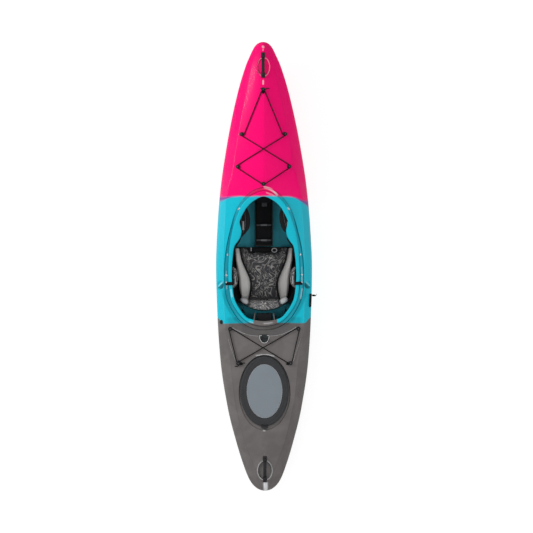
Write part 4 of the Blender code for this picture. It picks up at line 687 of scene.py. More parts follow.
def screw(bm, place, radius, height=0.002):
    """Pan-head screw with a cross recess."""
    turned(bm, [(0, -0.001), (radius, -0.001), (radius, height * 0.45), (radius * 0.86, height),
                (radius * 0.45, height * 1.15), (radius * 0.32, height * 0.5), (0, height * 0.4)],
           place, steps=20)


# Materials

def tinted(colour, factor):
    """A colour made darker or lighter."""
    return tuple(min(part * factor, 1) for part in colour)


class Signal:
    """A number that varies over a surface: a socket of a paint, with arithmetic."""

    def __init__(self, paint, socket):
        self.paint = paint
        self.socket = socket

    def maths(self, operation, *others):
        values = dict(enumerate((self, *others)))
        made = self.paint.node("ShaderNodeMath", {"operation": operation}, values)
        return Signal(self.paint, made.outputs[0])

    def __add__(self, other):
        return self.maths("ADD", other)

    def __sub__(self, other):
        return self.maths("SUBTRACT", other)

    def __rsub__(self, other):
        return self * -1 + other

    def __mul__(self, other):
        return self.maths("MULTIPLY", other)

    __radd__ = __add__
    __rmul__ = __mul__

    def __abs__(self):
        return self.maths("ABSOLUTE")

    def step(self, low, high):
        """0 at low and 1 at high, with a soft step between."""
        made = self.paint.node("ShaderNodeMapRange", {"interpolation_type": "SMOOTHSTEP"},
                               {"Value": self, "From Min": low, "From Max": high})
        return Signal(self.paint, made.outputs["Result"])


class Graph:
    """A tree of shader nodes and the one way in which they are made."""

    def __init__(self, tree):
        self.tree = tree

    def node(self, kind, settings=None, values=None):
        made = self.tree.nodes.new(kind)
        for name, value in (settings or {}).items():
            setattr(made, name, value)
        for socket, value in (values or {}).items():
            self.put(made.inputs[socket], value)
        return made

    def put(self, socket, value):
        """Link a signal or another node's output to a socket, or set the socket."""
        if isinstance(value, Signal):
            value = value.socket
        if isinstance(value, bpy.types.NodeSocket):
            self.tree.links.new(value, socket)
        else:
            socket.default_value = value

    def rays(self, kind):
        """1 for one kind of light ray, 0 for others."""
        return Signal(self, self.node("ShaderNodeLightPath").outputs[kind])


class Paint(Graph):
    """A material while it is put together. The constants go on the shader's own sockets."""

    def __init__(self, name, **constants):
        self.material = bpy.data.materials.new(name)
        self.material.use_nodes = True
        super().__init__(self.material.node_tree)
        self.shader = self.tree.nodes["Principled BSDF"]
        for socket, value in constants.items():
            self.shader.inputs[socket.replace("_", " ").title().replace("Ior", "IOR")] \
                .default_value = value
        place = self.node("ShaderNodeTexCoord").outputs["Object"]
        self.place = Signal(self, place)
        axes = self.node("ShaderNodeSeparateXYZ", values={0: self.place}).outputs
        self.x, self.y, self.z = (Signal(self, axis) for axis in axes)

    def stretched(self, scale, turn=(0, 0, 0)):
        made = self.node("ShaderNodeMapping", values={"Vector": self.place, "Scale": scale,
                                                       "Rotation": turn})
        return Signal(self, made.outputs[0])

    def noise(self, scale, detail=2.0, vector=None, distortion=0.0):
        made = self.node("ShaderNodeTexNoise", values={"Vector": vector or self.place,
                                                        "Scale": scale, "Detail": detail,
                                                        "Distortion": distortion})
        return Signal(self, made.outputs[0])

    def cells(self, scale, vector=None):
        made = self.node("ShaderNodeTexVoronoi", values={"Vector": vector or self.place,
                                                          "Scale": scale})
        return Signal(self, made.outputs["Distance"])

    def mix(self, share, first, second):
        """Colour between two, each a colour or a mixed one."""
        made = self.node("ShaderNodeMix", {"data_type": "RGBA"},
                         {0: share, 6: self.colour(first), 7: self.colour(second)})
        return Signal(self, made.outputs[2])

    @staticmethod
    def colour(value):
        return value if isinstance(value, Signal) else (*value, 1)

    def use(self, socket, signal):
        self.put(self.shader.inputs[socket], signal)

    def bump(self, height, strength, distance=0.001):
        made = self.node("ShaderNodeBump", values={"Height": height, "Strength": strength,
                                                    "Distance": distance})
        self.use("Normal", made.outputs[0])


def shaded(paint, colour, amount, scale):
    """Base colour with a soft lighter and darker mottle."""
    mottle = paint.noise(scale, 3)
    paint.use("Base Color", paint.mix(mottle, tinted(colour, 1 - amount),
                                      tinted(colour, 1 + amount)))


def moulded_paint(settings, inside=False):
    """Rotomoulded plastic in three colours, with painted shade and highlights; duller and darker
    inside.
    """
    paint = Paint("moulded_inside" if inside else "moulded_hull", specular_ior_level=0.06,
                  coat_roughness=0.06)
    side = abs(paint.x)
    wander = (paint.noise(9, 3) - 0.5) * 0.03
    soft = side.step(0.2, 0.3)
    starboard = paint.x.step(0.15, 0.31)
    bow_line = paint.y + wander + soft * 0.016 + starboard * 0.034 - BOW_COLOUR_EDGE
    in_bow = (bow_line * (1 - soft * 0.8)).step(-0.008, 0.008)
    blend = in_bow * (1 - in_bow) * side.step(0.17, 0.24) * 3.6
    stern_line = paint.y + wander * 0.35 + STERN_COLOUR_EDGE - side.step(0.262, 0.305) * 0.036
    middle_part = 1 - abs(paint.x - 0.0065).step(0.07, 0.08)
    stern_line = stern_line - middle_part * paint.z.step(0.12, 0.14) * 0.075
    in_stern = 1 - stern_line.step(-0.005, 0.005)
    grain = paint.noise(35, 4)
    middle = paint.mix(grain, tinted(settings.middle_colour, 0.94),
                       tinted(settings.middle_colour, 1.05))
    bow = paint.mix(grain, tinted(settings.bow_colour, 0.96), tinted(settings.bow_colour, 1.03))
    # painted sheen: lighter and darker patches on the stern's grey
    painted_sheen = paint.noise(9, 5, distortion=0.8).step(0.34, 0.7)
    stern = paint.mix(painted_sheen * 0.7 + grain * 0.3, tinted(settings.stern_colour, 0.88),
                      tinted(settings.stern_colour, 1.16))
    front = paint.mix(blend, paint.mix(in_bow, middle, bow), tuple(settings.blend_colour))
    colour = paint.mix(in_stern, front, stern)
    # the inside is greyer and darker: dust and painted shade
    if inside:
        colour = paint.mix(settings.inside_dust_and_shade, colour, tuple(settings.inside_dust_and_shade_colour))
    # painted shade (above 0) and painted highlights (below 0) from the mesh's attribute
    marks = Signal(paint, paint.node("ShaderNodeAttribute", {"attribute_name": "painted_light_and_shade"})
                   .outputs["Fac"])
    painted_shade, painted_highlight = marks.maths("MAXIMUM", 0.0), (marks * -1).maths("MAXIMUM", 0.0)
    aged = paint.mix(painted_shade * settings.painted_shade_strength, colour, tuple(settings.painted_shade_colour))
    highlight_colour = tuple(settings.highlight_colour)
    paint.use("Base Color", paint.mix(painted_highlight * settings.highlight_strength, aged, highlight_colour))
    if inside:
        paint.use("Roughness", 0.5 + paint.noise(14, 4) * 0.2)
    else:
        paint.use("Roughness", 0.18 + paint.noise(7, 4) * 0.14 + painted_shade * 0.2)
        paint.use("Coat Weight", 0.05 + painted_highlight * 0.9)
    paint.bump(paint.noise(420, 2), 0.05, 0.0004)
    return paint.material


def plastic_paint(name, colour, roughness=0.42, grain=0.12):
    """Injection-moulded plastic with a fine spark-eroded grain."""
    paint = Paint(name, specular_ior_level=0.16)
    shaded(paint, colour, 0.1, 60)
    paint.use("Roughness", roughness - 0.06 + paint.noise(45, 3) * 0.12)
    paint.bump(paint.noise(1600, 2), grain, 0.0003)
    return paint.material


def rubber_paint(name, colour):
    """Soft rubber with a dull, uneven shine."""
    paint = Paint(name, specular_ior_level=0.15)
    shaded(paint, colour, 0.14, 40)
    paint.use("Roughness", 0.55 + paint.noise(30, 3) * 0.15)
    paint.bump(paint.noise(900, 3), 0.12, 0.0004)
    return paint.material


def foam_paint(name, colour):
    """Closed-cell foam: tiny cells in a soft skin."""
    paint = Paint(name, specular_ior_level=0.12)
    shaded(paint, colour, 0.18, 25)
    paint.use("Roughness", 0.82 + paint.noise(20, 3) * 0.1)
    paint.bump(paint.cells(520) + paint.noise(90, 3) * 0.7, 0.25, 0.0006)
    return paint.material


def steel_paint():
    """Brushed steel."""
    paint = Paint("brushed_steel", metallic=1.0)
    brushed = paint.noise(700, 2, paint.stretched((1, 0.06, 1)))
    paint.use("Base Color", paint.mix(brushed, rgb(176, 177, 180), rgb(206, 207, 209)))
    paint.use("Roughness", 0.24 + brushed * 0.16)
    return paint.material


def weave_height(paint, pitch, slant=0.0):
    """Over-and-under height of a woven or braided surface."""
    def ribs(axis_turn):
        made = paint.node("ShaderNodeTexWave", {"wave_profile": "SIN", "bands_direction": "X"},
                          {"Vector": paint.stretched((1, 1, 1), (0.3, 0.2, axis_turn)),
                           "Scale": 0.314 / pitch, "Distortion": 0.6, "Detail Scale": 2.0})
        return Signal(paint, made.outputs["Fac"])

    return ribs(slant) * ribs(slant + math.radians(90))


def cord_paint(name, dark, light, pitch=0.0016):
    """Braided cord with lighter flecks."""
    paint = Paint(name, specular_ior_level=0.1)
    braid = weave_height(paint, pitch, math.radians(45))
    paint.use("Base Color", paint.mix(braid, dark, light))
    paint.use("Roughness", 0.78 + braid * 0.12)
    paint.bump(braid, 0.6, 0.0005)
    return paint.material


def cloth_paint(name, colour, settings):
    """Knitted cloth over foam."""
    paint = Paint(name, specular_ior_level=0.12, sheen_weight=0.12, sheen_roughness=0.4)
    weave = weave_height(paint, settings.weave_pitch)
    soft = paint.noise(18, 4)
    tone = paint.mix(soft, tinted(colour, 0.86), tinted(colour, 1.12))
    shadow = paint.mix(weave, tinted(colour, 0.78), tone)
    paint.use("Base Color", paint.mix(0.6, tone, shadow))
    paint.use("Roughness", 0.82 + soft * 0.1)
    paint.bump(weave, 0.35, 0.0006)
    return paint.material


def printed_paint(settings, name="printed_cloth", finer=1.0):
    """Dark knitted cloth with light wandering lines."""
    paint = Paint(name, specular_ior_level=0.12, sheen_weight=0.1, sheen_roughness=0.4)
    weave = weave_height(paint, settings.weave_pitch)
    field = paint.noise(settings.print_scale * finer, 1.9, distortion=1.2)
    bands = (field * settings.print_lines_across).maths("PINGPONG", 0.5)
    lines = bands.step(settings.print_weight, settings.print_weight - 0.12)
    breaks = paint.noise(22, 3).step(0.32, 0.5)
    marks = lines * (0.35 + breaks * 0.65)
    ground = paint.mix(paint.noise(24, 3), tinted(settings.print_ground, 0.8),
                       tinted(settings.print_ground, 1.25))
    ink = paint.mix(paint.noise(90, 3), tinted(settings.print_lines, 0.7),
                    tinted(settings.print_lines, 1.2))
    paint.use("Base Color", paint.mix(marks, ground, ink))
    paint.use("Roughness", 0.86 - marks * 0.08)
    paint.bump(weave + marks * 0.4, 0.35, 0.0006)
    return paint.material


def panel_paint(settings):
    """Stiff panel with a fine grain."""
    paint = Paint("hatch_panel", specular_ior_level=0.2)
    shaded(paint, tuple(settings.panel_colour), 0.05, 12)
    paint.use("Roughness", 0.42 + paint.noise(50, 3) * 0.1)
    paint.bump(paint.noise(1100, 2), 0.16, 0.0003)
    return paint.material


PAINTS = {}


def paint(name):
    """The boat's materials, each made when it is first asked for."""
    settings = bpy.context.scene.kayak_colours
    makers = {
        "moulded": lambda: moulded_paint(settings),
        "inside": lambda: moulded_paint(settings, inside=True),
        "rubber": lambda: rubber_paint("black_rubber", tuple(settings.rubber_colour)),
        "grip": lambda: rubber_paint("grip_rubber", rgb(36, 35, 37)),
        "black": lambda: plastic_paint("black_plastic", rgb(20, 20, 22)),
        "tray": lambda: plastic_paint("tray_plastic", rgb(17, 18, 20), 0.48),
        "light": lambda: plastic_paint("light_plastic", rgb(176, 176, 178), 0.38),
        "plate": lambda: plastic_paint("plate_plastic", rgb(150, 151, 153), 0.45),
        "grey": lambda: plastic_paint("grey_plastic", rgb(104, 106, 109), 0.45),
        "dark_grey": lambda: plastic_paint("dark_grey_plastic", rgb(74, 75, 78), 0.5),
        "edge": lambda: plastic_paint("panel_edge", rgb(168, 172, 176), 0.4),
        "panel": lambda: panel_paint(settings),
        "foam": lambda: foam_paint("black_foam", rgb(26, 27, 29)),
        "brace": lambda: foam_paint("brace_foam", rgb(30, 31, 33)),
        "steel": steel_paint,
        "cord": lambda: cord_paint("elastic_cord", rgb(9, 9, 10), rgb(30, 30, 33)),
        "light_cord": lambda: cord_paint("light_cord", rgb(120, 116, 112), rgb(196, 190, 184)),
        "webbing": lambda: cord_paint("webbing", rgb(14, 14, 16), rgb(36, 36, 39), 0.0022),
        "print": lambda: printed_paint(settings),
        "fine_print": lambda: printed_paint(settings, "fine_printed_cloth", 1.6),
        "cloth": lambda: cloth_paint("grey_cloth", tuple(settings.cloth_colour), settings),
        "pale_cloth": lambda: cloth_paint("pale_grey_cloth", tuple(settings.wedge_colour),
                                          settings),
        "piping": lambda: cloth_paint("dark_piping", rgb(44, 44, 46), settings),
    }
    if name not in PAINTS:
        PAINTS[name] = makers[name]()
    return PAINTS[name]


# Hull, coaming and hatch

def stations():
    """Distances ahead of the middle of the hull's sections, by length of deck."""
    def spread(start, end, count):
        return [start + (end - start) * i / count for i in range(count)] + [end]

    def towards_tip(inner, end, count):
        return [inner + (end - inner) * math.sin(math.pi / 2 * i / count) for i in range(count + 1)]

    return {"bow": towards_tip(COCKPIT_FRONT, HALF, BOW_STEPS),
            "cockpit": spread(COCKPIT_FRONT, COCKPIT_REAR, COCKPIT_STEPS),
            "hatch": spread(COCKPIT_REAR, HATCH_REAR, HATCH_STEPS),
            "stern": towards_tip(HATCH_REAR, -HALF, STERN_STEPS)}


def half_row(y):
    """Plan points across half a deck, from the centre line to the gunwale."""
    crease, beam = crease_half(y), half_beam(y)
    places = [share * crease for share in TOP_SHARES]
    places += [crease + share * (beam - crease) for share in SIDE_SHARES]
    return [(x, y) for x in places]


def deck_row(y):
    """Points across the deck, from gunwale to gunwale."""
    half = [(x, y, deck(x, y)) for x, _ in half_row(y)]
    return [(-x, y, z) for x, _, z in reversed(half[1:])] + half


def both_sides(half):
    """Closed ring of points from its starboard half."""
    return half + [(-x, y, z) for x, y, z in reversed(half[1:-1])]


def ring_of(plan, height):
    """Closed ring over a starboard half plan, at the height of each place."""
    return both_sides([(x, y, height(x, y)) for x, y in plan])


def boundary_plan(places):
    """Starboard half of the outline of a length of deck."""
    sides = [(half_beam(y), y) for y in places[1:-1]]
    return half_row(places[0]) + sides + list(reversed(half_row(places[-1])))


def crease_plan(places):
    """Ring inside the boundary, on the deck's crease at the sides."""
    front, rear = places[0] - RING_MARGIN, places[-1] + RING_MARGIN
    corner = 2 * RING_CORNER
    spare = len(SIDE_SHARES)
    count = len(places) - 1
    start, end = front - corner, rear + corner
    along = [front - corner * (i + 1) / spare for i in range(spare)]
    along += [start + (end - start) * i / count for i in range(1, count)]
    along += [rear + corner * (spare - i) / spare for i in range(spare)]
    plan = [(share * crease_half(front), front) for share in TOP_SHARES]
    plan += [(crease_half(y), y) for y in along]
    return plan + [(share * crease_half(rear), rear) for share in reversed(TOP_SHARES)]


def plan_shares(plan):
    """Share of the way along a plan at each of its points."""
    lengths = [0.0]
    for a, b in zip(plan, plan[1:]):
        lengths.append(lengths[-1] + math.dist(a, b))
    return [length / lengths[-1] for length in lengths]


def between(first, second, share):
    """Plan some share of the way from one plan to another."""
    return [(a[0] + (b[0] - a[0]) * share, a[1] + (b[1] - a[1]) * share)
            for a, b in zip(first, second)]


def zone_rings(places, hollow, floor_height, foot, painted_shade_share=lambda place: 1.0):
    """Rings from a deck's boundary in to the foot of a wall, and a function for their painted shade
    and highlights.
    """
    boundary, crease = boundary_plan(places), crease_plan(places)
    shares = plan_shares(crease)
    top = [tuple(hollow(share)) for share in shares]
    rings = [ring_of(between(boundary, crease, step), deck) for step in OUTER_STEPS]
    rings += [ring_of(between(crease, top, step), deck) for step in TOP_STEPS]
    rings.append(ring_of(top, deck))
    # painted shade on the hollow's rim, walls and foot, and a faint painted highlight on its floor
    shades = [None] * (len(rings) - 1) + [HOLLOW_RIM]
    floor = [tuple(inset(hollow, WALL_RUN)(share)) for share in shares]
    for step in WALL_STEPS:
        plan = between(top, floor, ease(step) * 0.85 + step * 0.15)
        rings.append(ring_of(plan, lambda x, y: deck(x, y)
                             + (floor_height(x, y) - deck(x, y)) * ease(step)))
        shades.append(HOLLOW_WALL * (1 - abs(2 * step - 0.7) ** 2))
    rings.append(ring_of(floor, floor_height))
    foot_plan = [tuple(foot(share)) for share in shares]
    rings += [ring_of(between(floor, foot_plan, step), floor_height) for step in FOOT_STEPS]
    shades.append(HOLLOW_FLOOR)
    shades += [HOLLOW_FOOT * ease((step - 0.36) / 0.18) + HOLLOW_FLOOR for step in FOOT_STEPS]
    crease_row = len(OUTER_STEPS)

    def shade(row, place):
        if shades[row] is not None:
            return shades[row] * painted_shade_share(place) - painted_highlight_at(place.x, place.y)
        # painted highlight along the crease beside the cockpit
        along = ease((0.42 - place.y) / 0.15) * ease((place.y + 0.4) / 0.1)
        side_highlight = CREASE_HIGHLIGHT * along if row == crease_row else 0.0
        return painted_light_and_shade(place.x, place.y) + side_highlight

    return rings, shade


def coaming_foot():
    """Curve where the coaming's wall stands on the hull."""
    return inset(half_curve(LIP_OUTLINE), WALL_INSET)


def cut_slot(bm):
    """Open the skeg's slot in the hull's bottom."""
    rear, front = SKEG_SLOT

    def near(margin):
        return [face for face in bm.faces
                if abs(face.calc_center_median().x) < SKEG_SLOT_HALF + margin
                and rear - margin < face.calc_center_median().y < front + margin]

    cuts = [((side * SKEG_SLOT_HALF, 0, 0), (1, 0, 0)) for side in (-1, 1)]
    cuts += [((0, end, 0), (0, 1, 0)) for end in SKEG_SLOT]
    for place, direction in cuts:
        faces = near(SKEG_SLOT_MARGIN)
        edges = {edge for face in faces for edge in face.edges}
        verts = {vert for face in faces for vert in face.verts}
        bmesh.ops.bisect_plane(bm, geom=[*verts, *edges, *faces],
                               plane_co=place, plane_no=direction)
    bmesh.ops.delete(bm, geom=near(0.0), context="FACES")


def make_hull_skin():
    """Bottom and deck with the cockpit's and the hatch's hollows, as one walled skin."""
    zones = stations()
    bm = bmesh.new()
    everywhere = zones["bow"][::-1] + zones["cockpit"][1:] + zones["hatch"][1:] + zones["stern"][1:]
    shares = [i / BOTTOM_STEPS for i in range(-BOTTOM_STEPS, BOTTOM_STEPS + 1)]
    skin(bm, [[bottom_point(y, share) for share in shares] for y in everywhere])
    cut_slot(bm)
    for zone in ("bow", "stern"):
        skin(bm, [deck_row(y) for y in zones[zone]], lambda row, place: painted_light_and_shade(place.x, place.y))
    cockpit, shade = zone_rings(zones["cockpit"], half_curve(HOLLOW_OUTLINE),
                                lambda x, y: lip_height(y) - LIP_STAND, coaming_foot())
    skin_rings(bm, cockpit, shade)
    # the hatch hollow's painted shade is darker at its front and lighter at its rear
    hatch, shade = zone_rings(zones["hatch"], half_ellipse(HATCH_HOLLOW_CENTRE, HATCH_HOLLOW),
                              lambda x, y: HATCH_HOLLOW_HEIGHT,
                              half_ellipse(HATCH_CENTRE, HATCH_COLLAR),
                              lambda place: 0.15 + ease((place.y - HATCH_CENTRE + 0.14) / 0.2))
    skin_rings(bm, hatch, shade)
    hull = finished(bm, "hull_skin", "moulded", "hull", sharp=60)
    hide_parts("hull_shell")
    hull.data.materials.append(paint("inside"))
    walled(hull, WALL).modifiers["wall"].material_offset = 1


def make_coaming():
    """Wall and rolled lip round the cockpit, the two webs behind it, and the hatch's collar."""
    zones = stations()
    shares = plan_shares(crease_plan(zones["cockpit"]))
    lip = half_curve(LIP_OUTLINE)
    opening = half_curve(OPENING_OUTLINE)

    def line(curve, rise):
        return ring_of([tuple(curve(share)) for share in shares],
                       lambda x, y: lip_height(y) + rise)

    def mixed(share, rise):
        first = [tuple(inset(lip, 0.009)(s)) for s in shares]
        second = [tuple(opening(s)) for s in shares]
        return ring_of(between(first, second, share), lambda x, y: lip_height(y) + rise)

    outside = [(WALL_INSET, -LIP_STAND - 0.003), (WALL_INSET, -LIP_STAND + 0.001),
               (WALL_INSET - 0.001, -0.014), (WALL_INSET - 0.0015, -0.01),
               (WALL_INSET - 0.0035, -0.0082), (0.006, -0.0078), (0.0022, -0.0076),
               (0.0006, -0.0066), (0.0, -0.0044), (0.0006, -0.0022), (0.0024, -0.0006),
               (0.009, 0.0008)]
    rings = [line(inset(lip, distance), rise) for distance, rise in outside]
    rings += [mixed(0.3, 0.0012), mixed(0.6, 0.001), mixed(0.85, 0.0002), mixed(0.95, -0.0006),
              line(opening, -0.0022), line(opening, -0.0046), mixed(0.96, -0.006)]
    inner = WALL_INSET + COAMING_WALL
    rings += [line(inset(lip, inner), -0.0072), line(inset(lip, inner), -LIP_STAND - WALL - 0.002),
              line(inset(lip, WALL_INSET + 0.001), -LIP_STAND - WALL - 0.002)]
    bm = bmesh.new()
    # painted shade on the rows under the lip's inner edge, less the painted highlight streaks
    painted_shade_rows = {15: 0.3, 16: 0.8, 17: 0.9, 18: 0.9}  # under the lip's inner edge
    skin_rings(bm, rings + [rings[0]],
               lambda row, place: painted_shade_rows.get(row, 0.0) - painted_highlight_at(place.x, place.y))
    finished(bm, "coaming", "moulded", "hull", sharp=60)

    bm = bmesh.new()
    profile = [(-0.374, 0.24), (-0.372, 0.249), (-0.356, 0.2545), (-0.33, 0.228),
               (-0.3, 0.199), (-0.297, 0.19), (-0.297, 0.15), (-0.372, 0.2)]
    for sign in SIDES.values():
        corners = [(sign * (0.0555 - (y + 0.297) * 0.14), y, z) for y, z in profile]
        slab(bm, corners, (sign * 0.008, 0, 0))
    bevelled(finished(bm, "coaming_webs", "moulded", "hull"), 0.0025, 3)

    bm = bmesh.new()
    low, top = HATCH_HOLLOW_HEIGHT - WALL, HATCH_COLLAR_TOP
    collar = [(HATCH_COLLAR, 0.0, low), (HATCH_COLLAR, 0.0, top - 0.002),
              (HATCH_COLLAR, 0.002, top), (HATCH_OPENING, -0.002, top),
              (HATCH_OPENING, 0.0, top - 0.002), (HATCH_OPENING, 0.0, low)]
    rings = [hatch_ring(*corner) for corner in collar]
    skin_rings(bm, rings + [rings[0]])
    finished(bm, "hatch_collar", "moulded", "hull", sharp=50)


def hatch_ring(axes, shrink, height):
    """Oval round the hatch's centre, drawn in by some distance."""
    wide, long = (axis - shrink for axis in axes)
    return [(wide * math.sin(a), HATCH_CENTRE + long * math.cos(a), height)
            for a in turns(HATCH_SIDES)]


def make_hatch():
    """Rubber lid with its pull tab and the tab's mark, and the panel in its middle."""
    floor = HATCH_HOLLOW_HEIGHT + 0.0012
    top = HATCH_LID_TOP
    skirt = [(0.006, HATCH_COLLAR_TOP + 0.0004), (0.006, floor + 0.001), (0.005, floor),
             (0.0016, floor), (0.0004, floor + 0.001), (0.0, floor + 0.006)]
    crown = [(0.0008, -0.005), (0.004, -0.001), (0.0085, 0.0014), (0.0125, 0.002),
             (0.0165, 0.0016), (0.0185, 0.0004), (0.0205, 0.0003), (0.0225, 0.0014),
             (0.03, 0.0019)]
    middle = [(-0.0035, 0.0017), (-0.0012, 0.0008), (0.001, 0.0)]
    rings = [hatch_ring(HATCH_LID, shrink, height) for shrink, height in skirt]
    rings += [hatch_ring(HATCH_LID, shrink, top + rise) for shrink, rise in crown]
    rings += [hatch_ring(HATCH_PANEL, shrink, top + rise) for shrink, rise in middle]
    bm = bmesh.new()
    solid(bm, rings)
    tab = [(-0.024, -0.222), (-0.0225, -0.236), (-0.016, -0.2435), (0.0, -0.2465),
           (0.016, -0.2435), (0.0225, -0.236), (0.024, -0.222)]
    slab(bm, [(x, HATCH_CENTRE + y, floor + 0.004) for x, y in tab], (0, 0, 0.005))
    box(bm, (-0.012, HATCH_CENTRE - 0.2425, floor + 0.0085),
        (0.012, HATCH_CENTRE - 0.235, floor + 0.0102), round_off=0.0007)
    lid = finished(bm, "hatch_cover", "rubber", "hatch", sharp=50)
    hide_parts("hatch_lid")
    bevelled(lid, 0.001, 2, 60)

    section = [(0.002, 0.0004), (0.0018, 0.0016), (0.003, 0.0026), (0.005, 0.003),
               (0.009, 0.003), (0.01, 0.0027), (0.011, 0.0028)]
    bm = bmesh.new()
    solid(bm, [hatch_ring(HATCH_PANEL, shrink, top + rise) for shrink, rise in section])
    panel = finished(bm, "hatch_cover_panel", "panel", "hatch", sharp=50)
    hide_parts("hatch_panel")
    bm = bmesh.new()
    tube(bm, hatch_ring(HATCH_PANEL, 0.0004, top + 0.0016), 0.0011, 8, closed_loop=True)
    finished(bm, "hatch_panel_edge", "edge", "hatch", sharp=80)
    bm = bmesh.new()
    section = [(0.0235, -0.001), (0.0235, 0.0022), (0.0215, 0.0032), (0.017, 0.003),
               (0.0155, 0.0014)]
    solid(bm, [[(math.sin(a) * wide, HATCH_CENTRE - 0.2195 + math.cos(a) * wide * 0.27,
                 top + rise) for a in turns(32)] for wide, rise in section])
    finished(bm, "hatch_pull_mark", "black", "hatch", sharp=50)


# Handles, fittings and cords

def make_handle(name, front, rear):
    """Ribbed grip arched between two screwed blocks."""
    width, long, high = HANDLE_BLOCK
    centres = {"front": front - long / 2, "rear": rear + long / 2}
    ends = []
    for end, y in centres.items():
        place = deck_frame(0.0, y)
        sign = -1 if end == "front" else 1
        bm = bmesh.new()
        box(bm, (-width / 2, -long / 2, 0.001), (width / 2, long / 2, high - 0.0045), place,
            0.0022, 3)
        box(bm, (-width / 2 + 0.003, -long / 2 + 0.003, 0.004),
            (width / 2 - 0.003, long / 2 - 0.003, high), place, 0.003, 3)
        block = finished(bm, f"{name}_{end}_block", "grip", "hull")
        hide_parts(f"{name}_block_{end}")
        bm = bmesh.new()
        screw(bm, place @ Matrix.Translation((0, -sign * 0.004, high)), 0.0055, 0.0016)
        finished(bm, f"{name}_{end}_screw", "black", "hull")
        ends.append(place @ Vector((0, sign * (long / 2 + 0.0013), HANDLE_LEVEL)))
    steps = 6 * HANDLE_RIBS
    rings = []
    for i in range(steps + 1):
        t = i / steps
        place = ends[0].lerp(ends[1], t)
        rise = (HANDLE_ARCH - HANDLE_LEVEL) * math.sin(math.pi * t) ** 0.9
        swell = 0.86 + 0.14 * ease(1.5 * abs(math.sin(math.pi * HANDLE_RIBS * t)))
        rings.append([(HANDLE_GRIP[0] / 2 * swell * fuller(math.cos(a), 0.6), place.y,
                       place.z + rise + HANDLE_GRIP[1] / 2 * swell * fuller(math.sin(a), 0.6))
                      for a in turns(20)])
    bm = bmesh.new()
    solid(bm, rings)
    grip = finished(bm, f"{name}_ribbed_grip", "grip", "hull", sharp=60)
    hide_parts(f"{name}_grip")


def eye_places():
    """Plan place of each cord fitting, by its node."""
    places = {}
    for row, eyes in (("bow", BOW_EYES), ("stern", STERN_EYES)):
        for name, (x, y) in eyes.items():
            if x == 0:
                places[f"{row}_eye_{name}"] = (x, y)
            else:
                places[f"{row}_eye_{name}_port"] = (-x, y)
                places[f"{row}_eye_{name}_starboard"] = (x, y)
    return places


def make_eyes():
    """Round cord fittings with a waisted neck, a domed head and a screw."""
    base, under = EYE_BASE + 0.001, EYE_HEIGHT - 0.0035
    head = EYE_RADIUS - 0.0012
    profile = [(0, 0.001), (EYE_RADIUS, 0.001), (EYE_RADIUS, base - 0.001),
               (EYE_RADIUS - 0.001, base), (EYE_NECK + 0.0015, base), (EYE_NECK, base + 0.002),
               (EYE_NECK, under - 0.001), (EYE_NECK + 0.001, under), (head - 0.0006, under),
               (head, under + 0.0008), (head - 0.0004, under + 0.0018),
               (head - 0.003, EYE_HEIGHT - 0.0004),
               (0.0052, EYE_HEIGHT), (0.0048, EYE_HEIGHT - 0.0012), (0, EYE_HEIGHT - 0.0012)]
    screws = bmesh.new()
    for node, (x, y) in eye_places().items():
        place = deck_frame(x, y)
        bm = bmesh.new()
        turned(bm, profile, place, 28)
        eye = finished(bm, f"{node}_fitting", "black", "hull", sharp=35)
        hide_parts(node)
        screw(screws, place @ Matrix.Translation((0, 0, EYE_HEIGHT - 0.0012)), 0.0027, 0.0012)
    finished(screws, "eye_screws", "grey", "hull", sharp=35)


def make_coaming_screws():
    """Screws with washers, along the coaming's foot."""
    bm = bmesh.new()
    for x, y in COAMING_SCREWS:
        for sign in SIDES.values():
            place = Matrix.Translation((sign * x, y, lip_height(y) - LIP_STAND + 0.0006))
            turned(bm, [(0, -0.0004), (0.0066, -0.0004), (0.0066, 0.0004), (0.0058, 0.0009),
                        (0, 0.0009)], place, 20)
            screw(bm, place @ Matrix.Translation((0, 0, 0.0009)), 0.0044, 0.0022)
    finished(bm, "coaming_screws", "steel", "hull", sharp=35)


def cord_round(eye, before, after):
    """Points where the cord goes round an eye's neck, from past the base on either side."""
    centre = Vector(eye)
    away = -((Vector(before) - centre).normalized() + (Vector(after) - centre).normalized())
    away = away.normalized() * 1.3 * (EYE_NECK + CORD_RADIUS)
    place = deck_frame(*eye)
    height = EYE_BASE + 0.001 + CORD_RADIUS + 0.0008
    across = Vector((away.y, -away.x))
    if across.dot(Vector(before) - centre) < 0:
        across = -across
    places = [across * 0.9 + away * 0.35, away, -across * 0.9 + away * 0.35]
    clear = EYE_RADIUS + 2 * CORD_RADIUS
    places.insert(0, places[0] + (Vector(before) - centre).normalized() * clear)
    places.append(places[-1] + (Vector(after) - centre).normalized() * clear)
    return [place @ Vector((p.x, p.y, height)) for p in places]


def cord_route(stops, raised):
    """Points of an elastic cord round the eyes in turn."""
    points = []
    previous = None
    for index, stop in enumerate(stops):
        before = stops[index - 1] if index else stops[1]
        after = stops[index + 1] if index + 1 < len(stops) else stops[-2]
        turn = cord_round(stop, before, after)
        if previous is not None:
            start, end = previous[-1], turn[0]
            for share in (step / 14 for step in range(1, 14)):
                place = start.lerp(end, share)
                rest = plain_deck(place.x, place.y) + CORD_RADIUS + 0.0012
                hump = 0.0062 * math.exp(-(place.x / 0.035) ** 2) if index in raised else 0.0
                points.append(Vector((place.x, place.y, max(place.z, rest) + hump)))
        points.extend(turn)
        previous = turn
    return points


